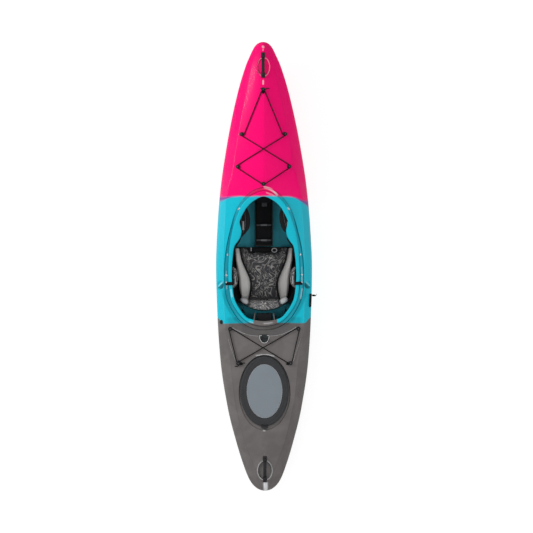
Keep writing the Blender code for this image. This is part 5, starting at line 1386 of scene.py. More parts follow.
def knot(bm, place, size, radius, turn=0.0):
    """Overhand knot: a trefoil of cord."""
    route = []
    for a in turns(36):
        point = Vector((math.sin(a) + 2 * math.sin(2 * a), math.cos(a) - 2 * math.cos(2 * a),
                        -math.sin(3 * a) * 1.1)) * (size / 3)
        route.append(Vector(place) + Matrix.Rotation(turn, 3, "Z") @ point)
    tube(bm, route, radius, 8, closed_loop=True)


def on_deck(x, y, rise):
    """Place some way above the deck."""
    return Vector((x, y, plain_deck(x, y) + rise))


def make_deck_cords():
    """Elastic cords round the fittings at the bow and the stern, with their knots."""
    top, bottom = BOW_EYES["top"], BOW_EYES["bottom"]
    upper, lower = BOW_EYES["upper"], BOW_EYES["lower"]
    upper_port, lower_port = (-upper[0], upper[1]), (-lower[0], lower[1])
    points = cord_route([upper_port, lower, bottom, lower_port, upper], (4,))
    ends = [on_deck(side * 0.012, top[1] - 0.014, CORD_RADIUS + 0.003) for side in (-1, 1)]
    legs = []
    for start, inner in ((ends[0], points[0]), (ends[1], points[-1])):
        leg = []
        for step in range(14):
            place = start.lerp(inner, step / 14)
            leg.append(on_deck(place.x, place.y, CORD_RADIUS + 0.003))
        legs.append(leg)
    bm = bmesh.new()
    tube(bm, through(legs[0] + points + list(reversed(legs[1])), 3), CORD_COVER, 10)
    knot(bm, on_deck(0.0, top[1] - 0.0165, 0.0085), 0.01, 0.0029)
    tails = [[(0.004, -0.01, 0.0085), (0.014, -0.001, 0.006), (0.026, 0.006, 0.0045),
              (0.038, 0.007, 0.004)],
             [(-0.004, -0.01, 0.0085), (-0.011, 0.001, 0.006), (-0.016, 0.008, 0.0045)]]
    for tail in tails:
        strand(bm, [on_deck(x, top[1] + ahead, rise) for x, ahead, rise in tail], TAIL_RADIUS)
    cord = finished(bm, "bow_elastic", "cord", "hull", sharp=80)
    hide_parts("bow_deck_cord")

    front, rear = STERN_EYES["front"], STERN_EYES["rear"]
    front_port, rear_port = (-front[0], front[1]), (-rear[0], rear[1])
    points = cord_route([rear_port, front_port, rear, front, rear_port], (4,))
    bm = bmesh.new()
    tube(bm, through(points, 3), CORD_COVER, 10)
    for sign in SIDES.values():
        knot(bm, on_deck(sign * 0.152, -0.632, 0.0088), 0.009, 0.0028, sign)
    tails = [[(-0.15, -0.632, 0.008), (-0.14, -0.628, 0.005), (-0.128, -0.626, 0.004)],
             [(-0.158, -0.634, 0.008), (-0.176, -0.648, 0.005), (-0.192, -0.647, 0.004)]]
    for tail in tails:
        strand(bm, [on_deck(*place) for place in tail], TAIL_RADIUS)
    cord = finished(bm, "stern_elastic", "cord", "hull", sharp=80)
    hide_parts("stern_deck_cord")


def make_deck_lines():
    """Beads with painted highlights on their tops: behind and beside the cockpit's rear, and round
    the stern's dent.
    """
    bm = bmesh.new()
    for sign in SIDES.values():
        across = [0.042 + 0.168 * i / 40 for i in range(41)]
        along = [-0.615 + 0.145 * i / 30 for i in range(31)]
        lines = [[(sign * x, smooth(STEP_LINE, x) + 0.001) for x in across],
                 [(sign * smooth(SIDE_LINE, y), y) for y in along]]
        for line, radius, mark in zip(lines, (BEAD, 0.8 * BEAD), (HIGHLIGHT_MARK, 0.6 * HIGHLIGHT_MARK)):
            tube(bm, [Vector((x, y, deck(x, y) + 0.0006)) for x, y in line], radius, 8, squash=0.8,
                 mark=mark)
    _, dent_y, width, length, _ = DENTS[1]
    for low, high in ((0.16, 0.97), (1.03, 1.84)):
        angles = [math.pi * (low + (high - low) * i / 40) for i in range(41)]
        ring = [(1.02 * width * math.sin(a), dent_y + 1.02 * length * math.cos(a)) for a in angles]
        tube(bm, [Vector((x, y, plain_deck(x, y) + 0.0002)) for x, y in ring], 0.9 * BEAD, 8,
             squash=0.8, mark=1.2 * HIGHLIGHT_MARK)
    finished(bm, "deck_beads", "moulded", "hull", sharp=80)


def make_security_bar():
    """The bar behind the cockpit, and the rim of its recess with a painted highlight."""
    rounded_copy("security_bar", "black", 0.0016, 3)
    bm = bmesh.new()
    half = through([(x, y, 0) for x, y in SHIELD_OUTLINE], 5)
    route = [on_deck(-p.x, p.y, 0.0006) for p in reversed(half[1:])]
    route += [on_deck(p.x, p.y, 0.0006) for p in half]
    tube(bm, route, 0.0028, 8, squash=0.9, mark=1.3 * HIGHLIGHT_MARK)
    finished(bm, "security_recess_rim", "moulded", "hull", sharp=80)


def make_drain_plug():
    """Plug with a bar to turn it by, on its washer."""
    bm = bmesh.new()
    place = deck_frame(*DRAIN_PLACE)
    head = 0.011
    turned(bm, [(0, -0.012), (0.0063, -0.012), (0.0063, 0.0025), (head - 0.0006, 0.0025),
                (head, 0.0032), (head, 0.0058), (head - 0.001, 0.0072), (head - 0.003, 0.0078),
                (head - 0.004, 0.0066), (0, 0.0066)], place, 32)
    box(bm, (-0.0065, -0.0014, 0.006), (0.0065, 0.0014, 0.0082), place, 0.0005)
    plug = finished(bm, "drain_screw_plug", "black", "drain_plug", sharp=35)
    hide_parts("drain_plug")
    bm = bmesh.new()
    turned(bm, [(0.0068, 0.0002), (0.0145, 0.0002), (0.0142, 0.0014), (0.0118, 0.0022),
                (0.0068, 0.0022)], place, 32)
    finished(bm, "drain_washer", "rubber", "hull", sharp=35)


# Skeg

def make_skeg():
    """Box, blade, pin, line and cleat, and the toggle on its knotted cord."""
    rounded_copy("skeg_box", "moulded", 0.0015)
    rounded_copy("skeg_blade", "black", 0.0016, 3)
    rounded_copy("skeg_pin", "steel", 0.0005)
    rounded_copy("skeg_line_tube", "black", 0.0003, 1, 60)
    rounded_copy("skeg_cleat", "black", 0.001)
    place = deck_frame(*SKEG_LINE_PLACE)
    bm = bmesh.new()
    profile = [(0.0024, 0.02), (0.005, 0.02), (0.0056, 0.0208), (0.0056, 0.0235),
               (0.005, 0.0245), (0.006, 0.0262), (0.0064, 0.03), (0.0064, 0.0345),
               (0.0058, 0.0372), (0.0049, 0.0385), (0.0056, 0.0396), (0.0055, 0.0412),
               (0.0048, 0.042), (0.0024, 0.042)]
    turned(bm, profile, place, 24)
    toggle = finished(bm, "skeg_pull_toggle", "black", "skeg_pull")
    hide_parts("skeg_toggle")
    bm = bmesh.new()
    run = [place @ Vector((0, 0, z)) for z in (-0.048, -0.03, 0.0, 0.02, 0.04, 0.0435)]
    strand(bm, run, 0.002, 3)
    knot(bm, place @ Vector((0.0, 0.0, 0.0462)), 0.0034, 0.0014, 0.6)
    tail = [(0.001, 0.001, 0.046), (0.003, 0.006, 0.05), (0.003, 0.012, 0.053)]
    strand(bm, [place @ Vector(point) for point in tail], 0.0014)
    cord = finished(bm, "skeg_pull_cord", "light_cord", "skeg_pull", sharp=80)
    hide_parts("skeg_toggle_cord")


# Seat, cushions and backband

def smoothed_copy(node, paint_name, name, sharp=55):
    """A node's surface with its triangles joined into larger faces, shaded smooth."""
    bm = welded(node)
    bmesh.ops.join_triangles(bm, faces=bm.faces, angle_face_threshold=math.radians(50),
                             angle_shape_threshold=math.radians(50))
    piece = finished(bm, name, paint_name, node_body(node), sharp)
    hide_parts(node)
    return piece


def make_seat_shell():
    """Seat pan with the strap, ring and bar in its front edge."""
    bevelled(smoothed_copy("seat_pan", "black", "seat_pan_shell"), 0.0012, 2)
    low_x, high_x, rear = NOTCH
    bm = bmesh.new()
    path = [(rear + 0.004, 0.046), (rear + 0.008, 0.066), (0.105, 0.0735), (0.122, 0.071),
            (SEAT_FRONT, 0.062), (SEAT_FRONT + 0.001, 0.04), (SEAT_FRONT + 0.001, 0.018)]
    start, width = low_x + 0.008, high_x - low_x - 0.06
    across = [width * i / 12 for i in range(13)]
    skin(bm, [[(start + x, p.y, p.z + 0.0012 * math.sin(x * 90)) for x in across]
              for p in through([(0, y, z) for y, z in path], 6)])
    strap = finished(bm, "leg_lifter_webbing", "webbing", "hull", sharp=70)
    step = strap.modifiers.new("thickness", "SOLIDIFY")
    step.thickness = 0.0018
    step.offset = -1
    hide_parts("leg_lifter_strap")

    bm = bmesh.new()
    ring = [Vector((0.068 + 0.016 * math.cos(a), 0.106 + 0.0125 * math.sin(a),
                    0.08 + 0.009 * math.sin(a))) for a in turns(40)]
    tube(bm, ring, 0.0028, 10, closed_loop=True)
    finished(bm, "leg_lifter_ring", "light", "hull", sharp=80)
    bm = bmesh.new()
    box(bm, (-0.0865, 0.1, 0.074), (-0.0805, 0.124, 0.0785), round_off=0.0014, segments=3)
    finished(bm, "leg_lifter_bar", "light", "hull", sharp=50)


CUSHIONS = {
    # node: (piece, paint, fill, most that a point may move, pinned side)
    "seat_cushion_centre": ("seat_cushion", "print", 0.7, 0.007, "under"),
    "seat_bolster_port": ("seat_bolster_pad_port", "cloth", 0.75, 0.011, "under"),
    "seat_bolster_starboard": ("seat_bolster_pad_starboard", "cloth", 0.75, 0.011, "under"),
    "hip_pad_port": ("hip_cushion_port", "print", 0.8, 0.006, "outboard"),
    "hip_pad_starboard": ("hip_cushion_starboard", "print", 0.8, 0.006, "outboard"),
    "backband_pad_centre": ("backband_cushion", "fine_print", 0.75, 0.007, "band"),
    "backband_wedge_port": ("backband_side_pad_port", "pale_cloth", 0.7, 0.005, "band"),
    "backband_wedge_starboard": ("backband_side_pad_starboard", "pale_cloth", 0.7, 0.005, "band"),
}


COVER = {"quality": 5, "mass": 0.3, "tension_stiffness": 12, "compression_stiffness": 12,
         "bending_stiffness": 0.4, "use_pressure": True, "vertex_group_mass": "held"}


def held_side(side, vert):
    """True where a pad lies against what carries it, so that it doesn't swell there."""
    if side == "under":
        return vert.normal.z < -0.35
    if side == "outboard":
        return vert.normal.x * vert.co.x > 0.5 * abs(vert.co.x)
    outward = Vector((vert.co.x, vert.co.y - BAND_CENTRE, 0)).normalized()
    return vert.normal.dot(outward) > 0.4


def side_pad_form(sign):
    """Rounded form of a backband side pad, lying against the band."""
    bm = bmesh.new()
    lie = (Matrix.Translation((sign * SIDE_PAD_PLACE[0], SIDE_PAD_PLACE[1], SIDE_PAD_PLACE[2]))
           @ Matrix.Rotation(sign * SIDE_PAD_TURN, 4, "Z") @ Matrix.Diagonal((*SIDE_PAD_HALF, 1)))
    bmesh.ops.create_icosphere(bm, subdivisions=4, radius=1)
    for vert in bm.verts:
        reach = (vert.co.xy.length ** SIDE_PAD_FULLNESS
                 + abs(vert.co.z) ** SIDE_PAD_FULLNESS) ** (1 / SIDE_PAD_FULLNESS)
        vert.co = vert.co / reach
    bmesh.ops.transform(bm, matrix=lie, verts=bm.verts)
    bm.normal_update()
    return bm


def remeshed(node, voxel, shrink):
    """Even mesh of a node's soft solid, with its edges rounded, drawn in a little."""
    bm = welded(node)
    if node == "seat_cushion_centre":
        cut_notch(bm)
    form = linked(bm, "pad_form")
    step = form.modifiers.new("even", "REMESH")
    step.mode = "VOXEL"
    step.voxel_size = voxel
    graph = bpy.context.evaluated_depsgraph_get()
    even = bpy.data.meshes.new_from_object(form.evaluated_get(graph))
    bpy.data.objects.remove(form)
    bm = bmesh.new()
    bm.from_mesh(even)
    for _ in range(SMOOTHINGS):
        bmesh.ops.smooth_vert(bm, verts=bm.verts, factor=0.5, use_axis_x=True, use_axis_y=True,
                              use_axis_z=True)
    bm.normal_update()
    for vert in bm.verts:
        vert.co -= vert.normal * shrink
    bm.normal_update()
    return bm


def cut_notch(bm):
    """Take the leg lifter's notch out of the cushion's front edge."""
    low_x, high_x, rear = NOTCH
    for place, direction in (((low_x, 0, 0), (1, 0, 0)), ((high_x, 0, 0), (1, 0, 0)),
                             ((0, rear, 0), (0, 1, 0))):
        bmesh.ops.bisect_plane(bm, geom=bm.verts[:] + bm.edges[:] + bm.faces[:],
                               plane_co=place, plane_no=direction)
    for vert in bm.verts:
        if low_x - WELD < vert.co.x < high_x + WELD and vert.co.y > rear + WELD:
            vert.co.y = rear + (vert.co.y - rear) * 0.02


def make_cushions(settings):
    """Pads blown up a little inside their covers, each against what carries it."""
    pads = {}
    for node, (name, _, _, _, side) in CUSHIONS.items():
        if "wedge" in node:
            bm = side_pad_form(SIDES[node.rsplit("_", 1)[1]])
        else:
            bm = remeshed(node, settings.voxel, settings.shrink)
        held = [vert.index for vert in bm.verts if held_side(side, vert)]
        pad = linked(bm, name)
        pad.vertex_groups.new(name="held").add(held, 1.0, "REPLACE")
        pads[node] = pad
    inflate(pads, settings)
    for node, pad in pads.items():
        _, paint_name, fill, _, _ = CUSHIONS[node]
        pad.vertex_groups.clear()
        pad.data.materials.append(paint(paint_name))
        pad.data.shade_smooth()
        step = pad.modifiers.new("rounded", "SUBSURF")
        step.levels = 1
        step.render_levels = 1
        node_slot(node)
        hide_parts(node)
        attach(pad, node_body(node))
    return pads


def inflate(pads, settings):
    """Run all the pads' cloth together, then keep each point's move within its limit."""
    scene = bpy.context.scene
    scene.frame_set(1)
    for pad in pads.values():
        cloth = pad.modifiers.new("cover", "CLOTH")
        for name, value in COVER.items():
            setattr(cloth.settings, name, value)
        cloth.settings.uniform_pressure_force = settings.pressure
        cloth.settings.effector_weights.gravity = 0
        cloth.point_cache.frame_start = 1
        cloth.point_cache.frame_end = settings.frames
    for number in range(1, settings.frames + 1):
        scene.frame_set(number)
    graph = bpy.context.evaluated_depsgraph_get()
    for node, pad in pads.items():
        most = CUSHIONS[node][3]
        blown = [vert.co.copy() for vert in pad.evaluated_get(graph).data.vertices]
        pad.modifiers.clear()
        for vert, place in zip(pad.data.vertices, blown):
            move = place - vert.co
            if move.length > most:
                move *= most / move.length
            vert.co += move
    scene.frame_set(1)


def surface_under(piece):
    """Function that drops a point on to a piece from above."""
    mesh = piece.evaluated_get(bpy.context.evaluated_depsgraph_get()).data
    tree = BVHTree.FromPolygons([vert.co for vert in mesh.vertices],
                                [face.vertices for face in mesh.polygons])

    def drop(x, y, otherwise):
        hit = tree.ray_cast(Vector((x, y, 1.0)), Vector((0, 0, -1)))[0]
        return hit.z if hit else otherwise

    return drop


def make_piping(pads):
    """Dark seam cords along the edges of the printed panel and round the hip pads."""
    bpy.context.view_layer.update()
    centre = surface_under(pads["seat_cushion_centre"])
    bm = bmesh.new()
    for side, sign in SIDES.items():
        bolster = surface_under(pads[f"seat_bolster_{side}"])
        route = []
        for i in range(45):
            y = -0.228 + 0.347 * i / 44
            x = sign * smooth(CUSHION_HALF, y)
            level = min(centre(x - sign * 0.007, y, 0.05), bolster(x + sign * 0.007, y, 0.05))
            route.append(Vector((x, y, level + 0.0008)))
        tube(bm, route, 0.0034, 8)
    low_x, high_x, rear = NOTCH
    corners = [(low_x - 0.006, 0.119), (low_x - 0.004, 0.1), (low_x + 0.006, rear - 0.006),
               (0.0, rear - 0.008), (high_x - 0.006, rear - 0.006), (high_x + 0.004, 0.1),
               (high_x + 0.006, 0.119)]
    flat = through([(x, y, 0) for x, y in corners], 8)
    tube(bm, [Vector((p.x, p.y, centre(p.x, p.y, 0.066) + 0.0006)) for p in flat], 0.003, 8)
    finished(bm, "seat_piping", "piping", "hull", sharp=80)

    bm = bmesh.new()
    for sign in SIDES.values():
        loop = []
        for a in turns(48):
            y = -0.071 + 0.07 * fuller(math.cos(a), 0.55)
            z = 0.16 + 0.053 * fuller(math.sin(a), 0.55)
            loop.append(Vector((sign * 0.2, y, z)))
        tube(bm, loop, 0.0026, 8, closed_loop=True)
    finished(bm, "hip_pad_piping", "piping", "hull", sharp=80)


def make_backband():
    """The band's shell, its seams, a black front cord that also stands for the shadow gap, and the
    cords behind it.
    """
    bevelled(smoothed_copy("backband_shell", "webbing", "backband_outer"), 0.0012, 2)
    bm = bmesh.new()
    for sign in SIDES.values():
        up = [(0.124 + 0.092 * i / 20, 0.055 - 0.018 * abs(i / 10 - 1) ** 3) for i in range(20)]
        over = [(0.2195, 0.05 - 0.05 * i / 10) for i in range(1, 10)]
        route = []
        for z, depth in up + over:
            axes = (BAND_AXES[0] - depth * 0.48, BAND_AXES[1] - depth)
            route.append(Vector((sign * axes[0] * math.sin(BAND_SEAM),
                                 BAND_CENTRE - axes[1] * math.cos(BAND_SEAM), z)))
        tube(bm, route, 0.004, 8)
    finished(bm, "backband_piping", "piping", "backband", sharp=80)

    # black cord along the band's front, thickened to stand for the shadow gap under it: piping and
    # painted shadow
    bm = bmesh.new()
    front = [(-0.092, -0.206), (-0.05, -0.205), (0.0, -0.208), (0.05, -0.205),
             (0.092, -0.206)]
    strand(bm, [(x, y, 0.202) for x, y in front], 0.0055, 8)
    finished(bm, "backband_front_piping_and_shadow", "black", "backband", sharp=80)

    bm = bmesh.new()
    for sign in SIDES.values():
        for shift in (0.0, 0.009):
            x = sign * (0.135 + shift)
            route = [(x, -0.262, 0.192), (x + sign * 0.004, -0.276, 0.186), (x, -0.29, 0.196),
                     (x - sign * 0.004, -0.3, 0.214), (x - sign * 0.002, -0.306, 0.226)]
            strand(bm, route, 0.0018, 6)
        knot(bm, (sign * 0.14, -0.285, 0.189), 0.006, 0.0019, sign)
        tail = [(sign * 0.14, -0.285, 0.189), (sign * 0.131, -0.294, 0.178),
                (sign * 0.124, -0.297, 0.16)]
        strand(bm, tail, 0.0018, 6)
    finished(bm, "backband_cords", "cord", "hull", sharp=80)


# Braces, straps and what stands inside

def plan_curve(points):
    """Function from a share of the way to a point on a curve in plan."""
    route = through([(x, y, 0) for x, y in points], 8)

    def at(share):
        place = min(max(share, 0.0), 1.0) * (len(route) - 1)
        index = min(int(place), len(route) - 2)
        return route[index].lerp(route[index + 1], place - index)

    return at


def make_thigh_braces():
    """Foam braces with their seams, plates and bolts."""
    outer, inner = plan_curve(BRACE_OUTER), plan_curve(BRACE_INNER)
    low, high = BRACE_HEIGHTS
    across, along = 16, 30
    for side, sign in SIDES.items():
        pivot = Vector((*BRACE_BOLT, 0))
        turn = (Matrix.Translation(pivot) @ Matrix.Rotation(-BRACE_TURN[side], 4, "Z")
                @ Matrix.Translation(-pivot))

        def face(edge, middle):
            rows = []
            for j in range(along + 1):
                v = 0.02 + 0.96 * j / along
                row = []
                for i in range(across + 1):
                    u = i / across
                    round_off = (1 - abs(2 * u - 1) ** 5) * (1 - abs(2 * v - 1) ** 8)
                    groove = sum(0.0016 * math.exp(-((u - seam) / 0.035) ** 2)
                                 for seam in BRACE_SEAMS) * (edge < middle)
                    plan = turn @ inner(v).lerp(outer(v), 0.02 + 0.96 * u)
                    row.append((sign * plan.x, plan.y,
                                edge + (middle - edge) * math.sqrt(max(round_off, 0)) - groove))
                rows.append(row)
            return rows

        bm = bmesh.new()
        top, under = face(high - 0.007, high - 0.0004), face(low + 0.007, low + 0.0004)
        skin(bm, top)
        skin(bm, under)
        rim = []
        for rows in (top, under):
            rim.append(rows[0] + [row[-1] for row in rows[1:]] + rows[-1][-2::-1]
                       + [row[0] for row in rows[-2:0:-1]])
        skin_rings(bm, rim)
        brace = finished(bm, f"thigh_brace_pad_{side}", "brace", f"thigh_brace_{side}",
                         sharp=70)
        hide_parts(f"thigh_brace_{side}")
        bm = bmesh.new()
        for share in BRACE_PIPING:
            column = round(share * across)
            line = [Vector(row[column]) + Vector((0, 0, 0.0004)) for row in top[4:-4]]
            tube(bm, line, 0.0011, 6)
        finished(bm, f"thigh_brace_piping_{side}", "grey", f"thigh_brace_{side}",
                 sharp=80)
        rounded_copy(f"thigh_brace_plate_{side}", "plate", 0.0012, 3, slim=0.65)
        rounded_copy(f"thigh_brace_bolt_{side}", "steel", 0.0005)


def make_foot_braces():
    for side in SIDES:
        rounded_copy(f"foot_rail_{side}", "black", 0.001)
        rounded_copy(f"foot_pedal_{side}", "black", 0.0012)


def make_straps():
    """Straps over the coaming, the hip pads' buckles and the opening's dark edge strips."""
    for side in SIDES:
        rounded_copy(f"coaming_strap_{side}", "webbing", 0.0004)
        rounded_copy(f"hip_pad_buckle_{side}", "light", 0.001, 3, slim=0.7)
    bm = bmesh.new()
    opening = half_curve(OPENING_OUTLINE)
    for sign in SIDES.values():
        rows = []
        for step in range(25):
            share = 0.335 + 0.145 * step / 24
            width = 0.0125 * math.sin(math.pi * (0.12 + 0.8 * step / 24)) ** 0.7
            near, far = inset(opening, width)(share), inset(opening, -0.004)(share)
            level = lip_height(near.y) - 0.014
            rows.append([(sign * near.x, near.y, level - 0.03),
                         (sign * near.x, near.y, level - 0.003),
                         (sign * (near.x * 0.8 + far.x * 0.2), near.y * 0.8 + far.y * 0.2, level),
                         (sign * far.x, far.y, level)])
        skin(bm, rows)
    strips = finished(bm, "opening_edge_strips", "webbing", "hull", sharp=50)
    walled(strips, 0.002)


def make_insides():
    """Pillars, bulkhead and the tray with its rungs."""
    rounded_copy("bow_pillar", "foam", 0.004, 3)
    rounded_copy("stern_pillar", "foam", 0.003, 3)
    rounded_copy("rear_bulkhead", "foam", 0.002)
    rounded_copy("pillar_tray", "tray", 0.0012)
    bm = bmesh.new()
    for y in TRAY_RUNGS:
        box(bm, (-0.047, y - 0.0052, 0.0555), (0.047, y + 0.0052, 0.059), round_off=0.0012)
    box(bm, (-0.013, 0.392, 0.0442), (0.022, 0.434, 0.049), round_off=0.0018)
    finished(bm, "tray_rung_pads", "dark_grey", "hull")
    # raised clips on the rungs' middles, their lighter grey a painted highlight
    bm = bmesh.new()
    for y in TRAY_RUNGS:
        box(bm, (-0.02, y - 0.0064, 0.056), (0.02, y + 0.0064, 0.0612), round_off=0.0016)
    finished(bm, "tray_rung_highlight_clips", "grey", "hull")


# Stage

def make_stage(settings):
    """Floor, surrounding light, lamps and camera."""
    scene = bpy.context.scene
    scene.view_settings.view_transform = "Standard"

    bm = bmesh.new()
    bmesh.ops.create_grid(bm, x_segments=1, y_segments=1, size=FLOOR_HALF,
                          matrix=Matrix.Translation((0, 0, FLOOR_LEVEL)))
    floor = linked(bm, "studio_floor")
    floor.data.materials.append(floor_paint())

    world = bpy.data.worlds.new("studio")
    scene.world = world
    world.use_nodes = True
    graph = Graph(world.node_tree)
    seen = (graph.rays("Is Camera Ray") + graph.rays("Is Glossy Ray")
            + graph.rays("Is Transmission Ray"))
    strength = seen * (1 - settings.surround) + settings.surround
    background = graph.tree.nodes["Background"]
    graph.put(background.inputs["Color"], (1, 1, 1, 1))
    graph.put(background.inputs["Strength"], strength)

    lamps = [("key_panel", (-4.2, 1.8, 2.6), 1.8, settings.key_power),
             ("fill_panel", (3.0, -0.6, 4.0), 2.6, settings.fill_power),
             ("rear_panel", (-1.2, -4.0, 3.2), 2.2, settings.fill_power * 0.5),
             ("front_glint", (0.25, 2.3, 4.2), 0.16, settings.glint_power),
             ("rear_glint", (0.2, -2.15, 4.2), 0.16, settings.glint_power)]
    for name, place, size, power in lamps:
        lamp = bpy.data.lights.new(name, "AREA")
        lamp.size = size
        lamp.energy = power
        holder = bpy.data.objects.new(name, lamp)
        holder.location = place
        holder.rotation_euler = (LAMP_AIM - Vector(place)).to_track_quat("-Z", "Y").to_euler()
        scene.collection.objects.link(holder)

    lens = bpy.data.cameras.new("camera")
    lens.sensor_width = SENSOR
    lens.lens = SENSOR * CAMERA_DISTANCE / (PICTURE_WIDTH * METRES_PER_PIXEL)
    lens.clip_end = 100
    camera = bpy.data.objects.new("camera", lens)
    camera.location = (settings.camera_x, 0.0, CAMERA_DISTANCE + CAMERA_LEVEL)
    camera.rotation_euler = (0, 0, settings.camera_roll)
    scene.collection.objects.link(camera)
    scene.camera = camera


def floor_paint():
    """Pale floor that the camera sees as nearly white, with the boat's soft shadow."""
    look = Paint("studio_floor", base_color=(0.82, 0.82, 0.82, 1), roughness=0.9,
                 specular_ior_level=0.0)
    light = look.node("ShaderNodeEmission", values={"Color": (1, 1, 1, 1), "Strength": 0.84})
    dull = look.node("ShaderNodeBsdfDiffuse", values={"Color": (0.24, 0.24, 0.24, 1)})
    bright = look.node("ShaderNodeAddShader", values={0: light.outputs[0], 1: dull.outputs[0]})
    choice = look.node("ShaderNodeMixShader", values={0: look.rays("Is Camera Ray"),
                                                      1: look.shader.outputs[0],
                                                      2: bright.outputs[0]})
    look.put(look.tree.nodes["Material Output"].inputs["Surface"], choice.outputs[0])
    return look.material


# Settings, operators and panel

def colour_property(name, description, default):
    return FloatVectorProperty(name=name, description=description, default=default,
                               subtype="COLOR", min=0, max=1)


class KayakColours(bpy.types.PropertyGroup):
    """Colours and cloth of the boat."""
    bow_colour: colour_property("Bow", "Colour of the bow's plastic", rgb(243, 4, 109))
    middle_colour: colour_property("Middle", "Colour of the middle's plastic", rgb(22, 181, 202))
    stern_colour: colour_property("Stern", "Colour of the stern's plastic", rgb(104, 100, 99))
    rubber_colour: colour_property("Hatch rubber", "Colour of the hatch's rim", rgb(50, 51, 53))
    panel_colour: colour_property("Hatch panel", "Colour of the hatch's panel", rgb(120, 128, 135))
    cloth_colour: colour_property("Side cloth", "Colour of the seat's side pads",
                                  rgb(226, 223, 220))
    wedge_colour: colour_property("Back cloth", "Colour of the backband's side pads",
                                  rgb(180, 179, 181))
    print_ground: colour_property("Print ground", "Ground of the printed cloth", rgb(76, 76, 79))
    print_lines: colour_property("Print lines", "Lines of the printed cloth", rgb(178, 174, 170))
    print_scale: FloatProperty(name="Print scale", description="Fineness of the printed lines",
                               default=9.0, min=1.0, max=60.0)
    print_lines_across: FloatProperty(name="Print closeness",
                                      description="Closeness of the printed lines",
                                      default=10.0, min=1.0, max=40.0)
    print_weight: FloatProperty(name="Print weight", description="Width of the printed lines",
                                default=0.2, min=0.05, max=0.5)
    # colour of the painted shade in the hull's crevices and hollows
    painted_shade_colour: colour_property("Crevices", "Colour that gathers in the hull's crevices",
                                    rgb(10, 34, 38))
    blend_colour: colour_property("Blend", "Colour where the bow's plastic meets the middle's",
                                  rgb(118, 66, 150))
    # dust and painted shade on the hull's inside
    inside_dust_and_shade_colour: colour_property("Inside", "Colour that dulls the hull's inside", rgb(88, 92, 96))
    inside_dust_and_shade: FloatProperty(name="Inside dullness", description="How dull the hull's inside is",
                               default=0.4, min=0.0, max=1.0)
    # strength of the painted shade
    painted_shade_strength: FloatProperty(name="Crevice shade", description="How dark the crevices are",
                                 default=0.62, min=0.0, max=1.0)
    # colour and strength of the painted highlights
    highlight_colour: colour_property("Worn edges", "Colour of the hull's worn edges",
                                 rgb(226, 228, 230))
    highlight_strength: FloatProperty(name="Wear", description="How light the worn edges are",
                              default=0.55, min=0.0, max=1.0)
    weave_pitch: FloatProperty(name="Weave pitch", description="Spacing of the cloth's threads",
                               default=0.0022, min=0.0005, max=0.01, subtype="DISTANCE",
                               unit="LENGTH")


class KayakPads(bpy.types.PropertyGroup):
    """How the pads are blown up."""
    voxel: FloatProperty(name="Mesh size", description="Size of a pad's even mesh", default=0.005,
                         min=0.002, max=0.02, subtype="DISTANCE", unit="LENGTH")
    shrink: FloatProperty(name="Draw in", description="How far a pad is drawn in before it swells",
                          default=0.0022, min=0.0, max=0.01, subtype="DISTANCE", unit="LENGTH")
    pressure: FloatProperty(name="Pressure", description="Pressure inside a pad's cover",
                            default=6.0, min=0.0, max=20.0)
    frames: IntProperty(name="Frames", description="Length of the cloth simulation", default=20,
                        min=1, max=60)


class KayakStage(bpy.types.PropertyGroup):
    """Light and camera."""
    surround: FloatProperty(name="Surround", description="Strength of the even light", default=0.5,
                            min=0.0, max=2.0)
    key_power: FloatProperty(name="Key light", description="Power of the main lamp", default=150.0,
                             min=0.0, unit="POWER")
    fill_power: FloatProperty(name="Fill light", description="Power of the other lamps",
                              default=42.0, min=0.0, unit="POWER")
    glint_power: FloatProperty(name="Glints", description="Power of the two small lamps",
                               default=12.0, min=0.0, unit="POWER")
    camera_x: FloatProperty(name="Camera offset",
                            description="How far the camera stands off the centre line",
                            default=0.0162, subtype="DISTANCE", unit="LENGTH")
    camera_roll: FloatProperty(name="Camera roll", description="Turn of the picture",
                               default=-0.00445, subtype="ANGLE", unit="ROTATION")


class KAYAK_OT_hull(bpy.types.Operator):
    """Build the hull's moulded skin"""
    bl_idname = "kayak.hull"
    bl_label = "Hull"

    def execute(self, context):
        make_hull_skin()
        return {"FINISHED"}


class KAYAK_OT_coaming(bpy.types.Operator):
    """Build the coaming, its webs and screws, and the hatch's collar"""
    bl_idname = "kayak.coaming"
    bl_label = "Coaming"

    def execute(self, context):
        make_coaming()
        make_coaming_screws()
        return {"FINISHED"}


class KAYAK_OT_hatch(bpy.types.Operator):
    """Build the hatch's cover"""
    bl_idname = "kayak.hatch"
    bl_label = "Hatch"

    def execute(self, context):
        make_hatch()
        return {"FINISHED"}


class KAYAK_OT_handles(bpy.types.Operator):
    """Build the two carry handles"""
    bl_idname = "kayak.handles"
    bl_label = "Handles"

    def execute(self, context):
        make_handle("bow_handle", *BOW_HANDLE)
        make_handle("stern_handle", *STERN_HANDLE)
        return {"FINISHED"}


class KAYAK_OT_fittings(bpy.types.Operator):
    """Build the deck's fittings and elastic cords"""
    bl_idname = "kayak.fittings"
    bl_label = "Deck fittings"

    def execute(self, context):
        make_eyes()
        make_deck_cords()
        make_deck_lines()
        make_security_bar()
        make_drain_plug()
        return {"FINISHED"}


class KAYAK_OT_skeg(bpy.types.Operator):
    """Build the skeg, its box and its pull"""
    bl_idname = "kayak.skeg"
    bl_label = "Skeg"

    def execute(self, context):
        make_skeg()
        return {"FINISHED"}


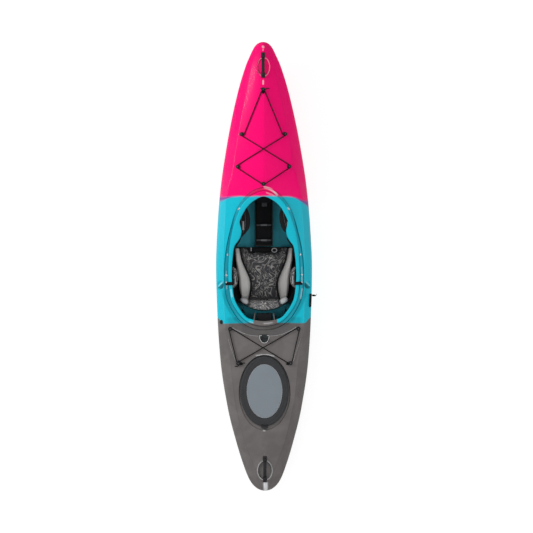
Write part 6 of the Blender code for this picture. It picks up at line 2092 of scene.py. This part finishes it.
class KAYAK_OT_seat(bpy.types.Operator):
    """Build the seat, its pads and the backband"""
    bl_idname = "kayak.seat"
    bl_label = "Seat"

    def execute(self, context):
        make_seat_shell()
        pads = make_cushions(context.scene.kayak_pads)
        make_piping(pads)
        make_backband()
        return {"FINISHED"}


class KAYAK_OT_braces(bpy.types.Operator):
    """Build the thigh braces, foot braces and straps"""
    bl_idname = "kayak.braces"
    bl_label = "Braces"

    def execute(self, context):
        make_thigh_braces()
        make_foot_braces()
        make_straps()
        return {"FINISHED"}


class KAYAK_OT_insides(bpy.types.Operator):
    """Build the pillars, the tray and the bulkhead"""
    bl_idname = "kayak.insides"
    bl_label = "Insides"

    def execute(self, context):
        make_insides()
        return {"FINISHED"}


class KAYAK_OT_stage(bpy.types.Operator):
    """Build the floor, the lamps and the camera"""
    bl_idname = "kayak.stage"
    bl_label = "Stage"

    def execute(self, context):
        make_stage(context.scene.kayak_stage)
        return {"FINISHED"}


STEPS = (KAYAK_OT_hull, KAYAK_OT_coaming, KAYAK_OT_hatch, KAYAK_OT_handles, KAYAK_OT_fittings,
         KAYAK_OT_skeg, KAYAK_OT_seat, KAYAK_OT_braces, KAYAK_OT_insides, KAYAK_OT_stage)
GROUPS = {"kayak_colours": KayakColours, "kayak_pads": KayakPads, "kayak_stage": KayakStage}


class KAYAK_PT_panel(bpy.types.Panel):
    """The boat's steps and settings"""
    bl_idname = "KAYAK_PT_panel"
    bl_label = "Crossover kayak"
    bl_space_type = "VIEW_3D"
    bl_region_type = "UI"
    bl_category = "Kayak"

    def draw(self, context):
        for step in STEPS:
            self.layout.operator(step.bl_idname)
        for name, group in GROUPS.items():
            column = self.layout.column(align=True)
            for setting in group.__annotations__:
                column.prop(getattr(context.scene, name), setting)


CLASSES = (*GROUPS.values(), *STEPS, KAYAK_PT_panel)


def register():
    for cls in CLASSES:
        bpy.utils.register_class(cls)
    for name, group in GROUPS.items():
        setattr(bpy.types.Scene, name, PointerProperty(type=group))


def unregister():
    for name in GROUPS:
        delattr(bpy.types.Scene, name)
    for cls in reversed(CLASSES):
        bpy.utils.unregister_class(cls)


def main():
    register()
    for step in STEPS:
        group, name = step.bl_idname.split(".")
        getattr(getattr(bpy.ops, group), name)()


if __name__ == "__main__":
    main()
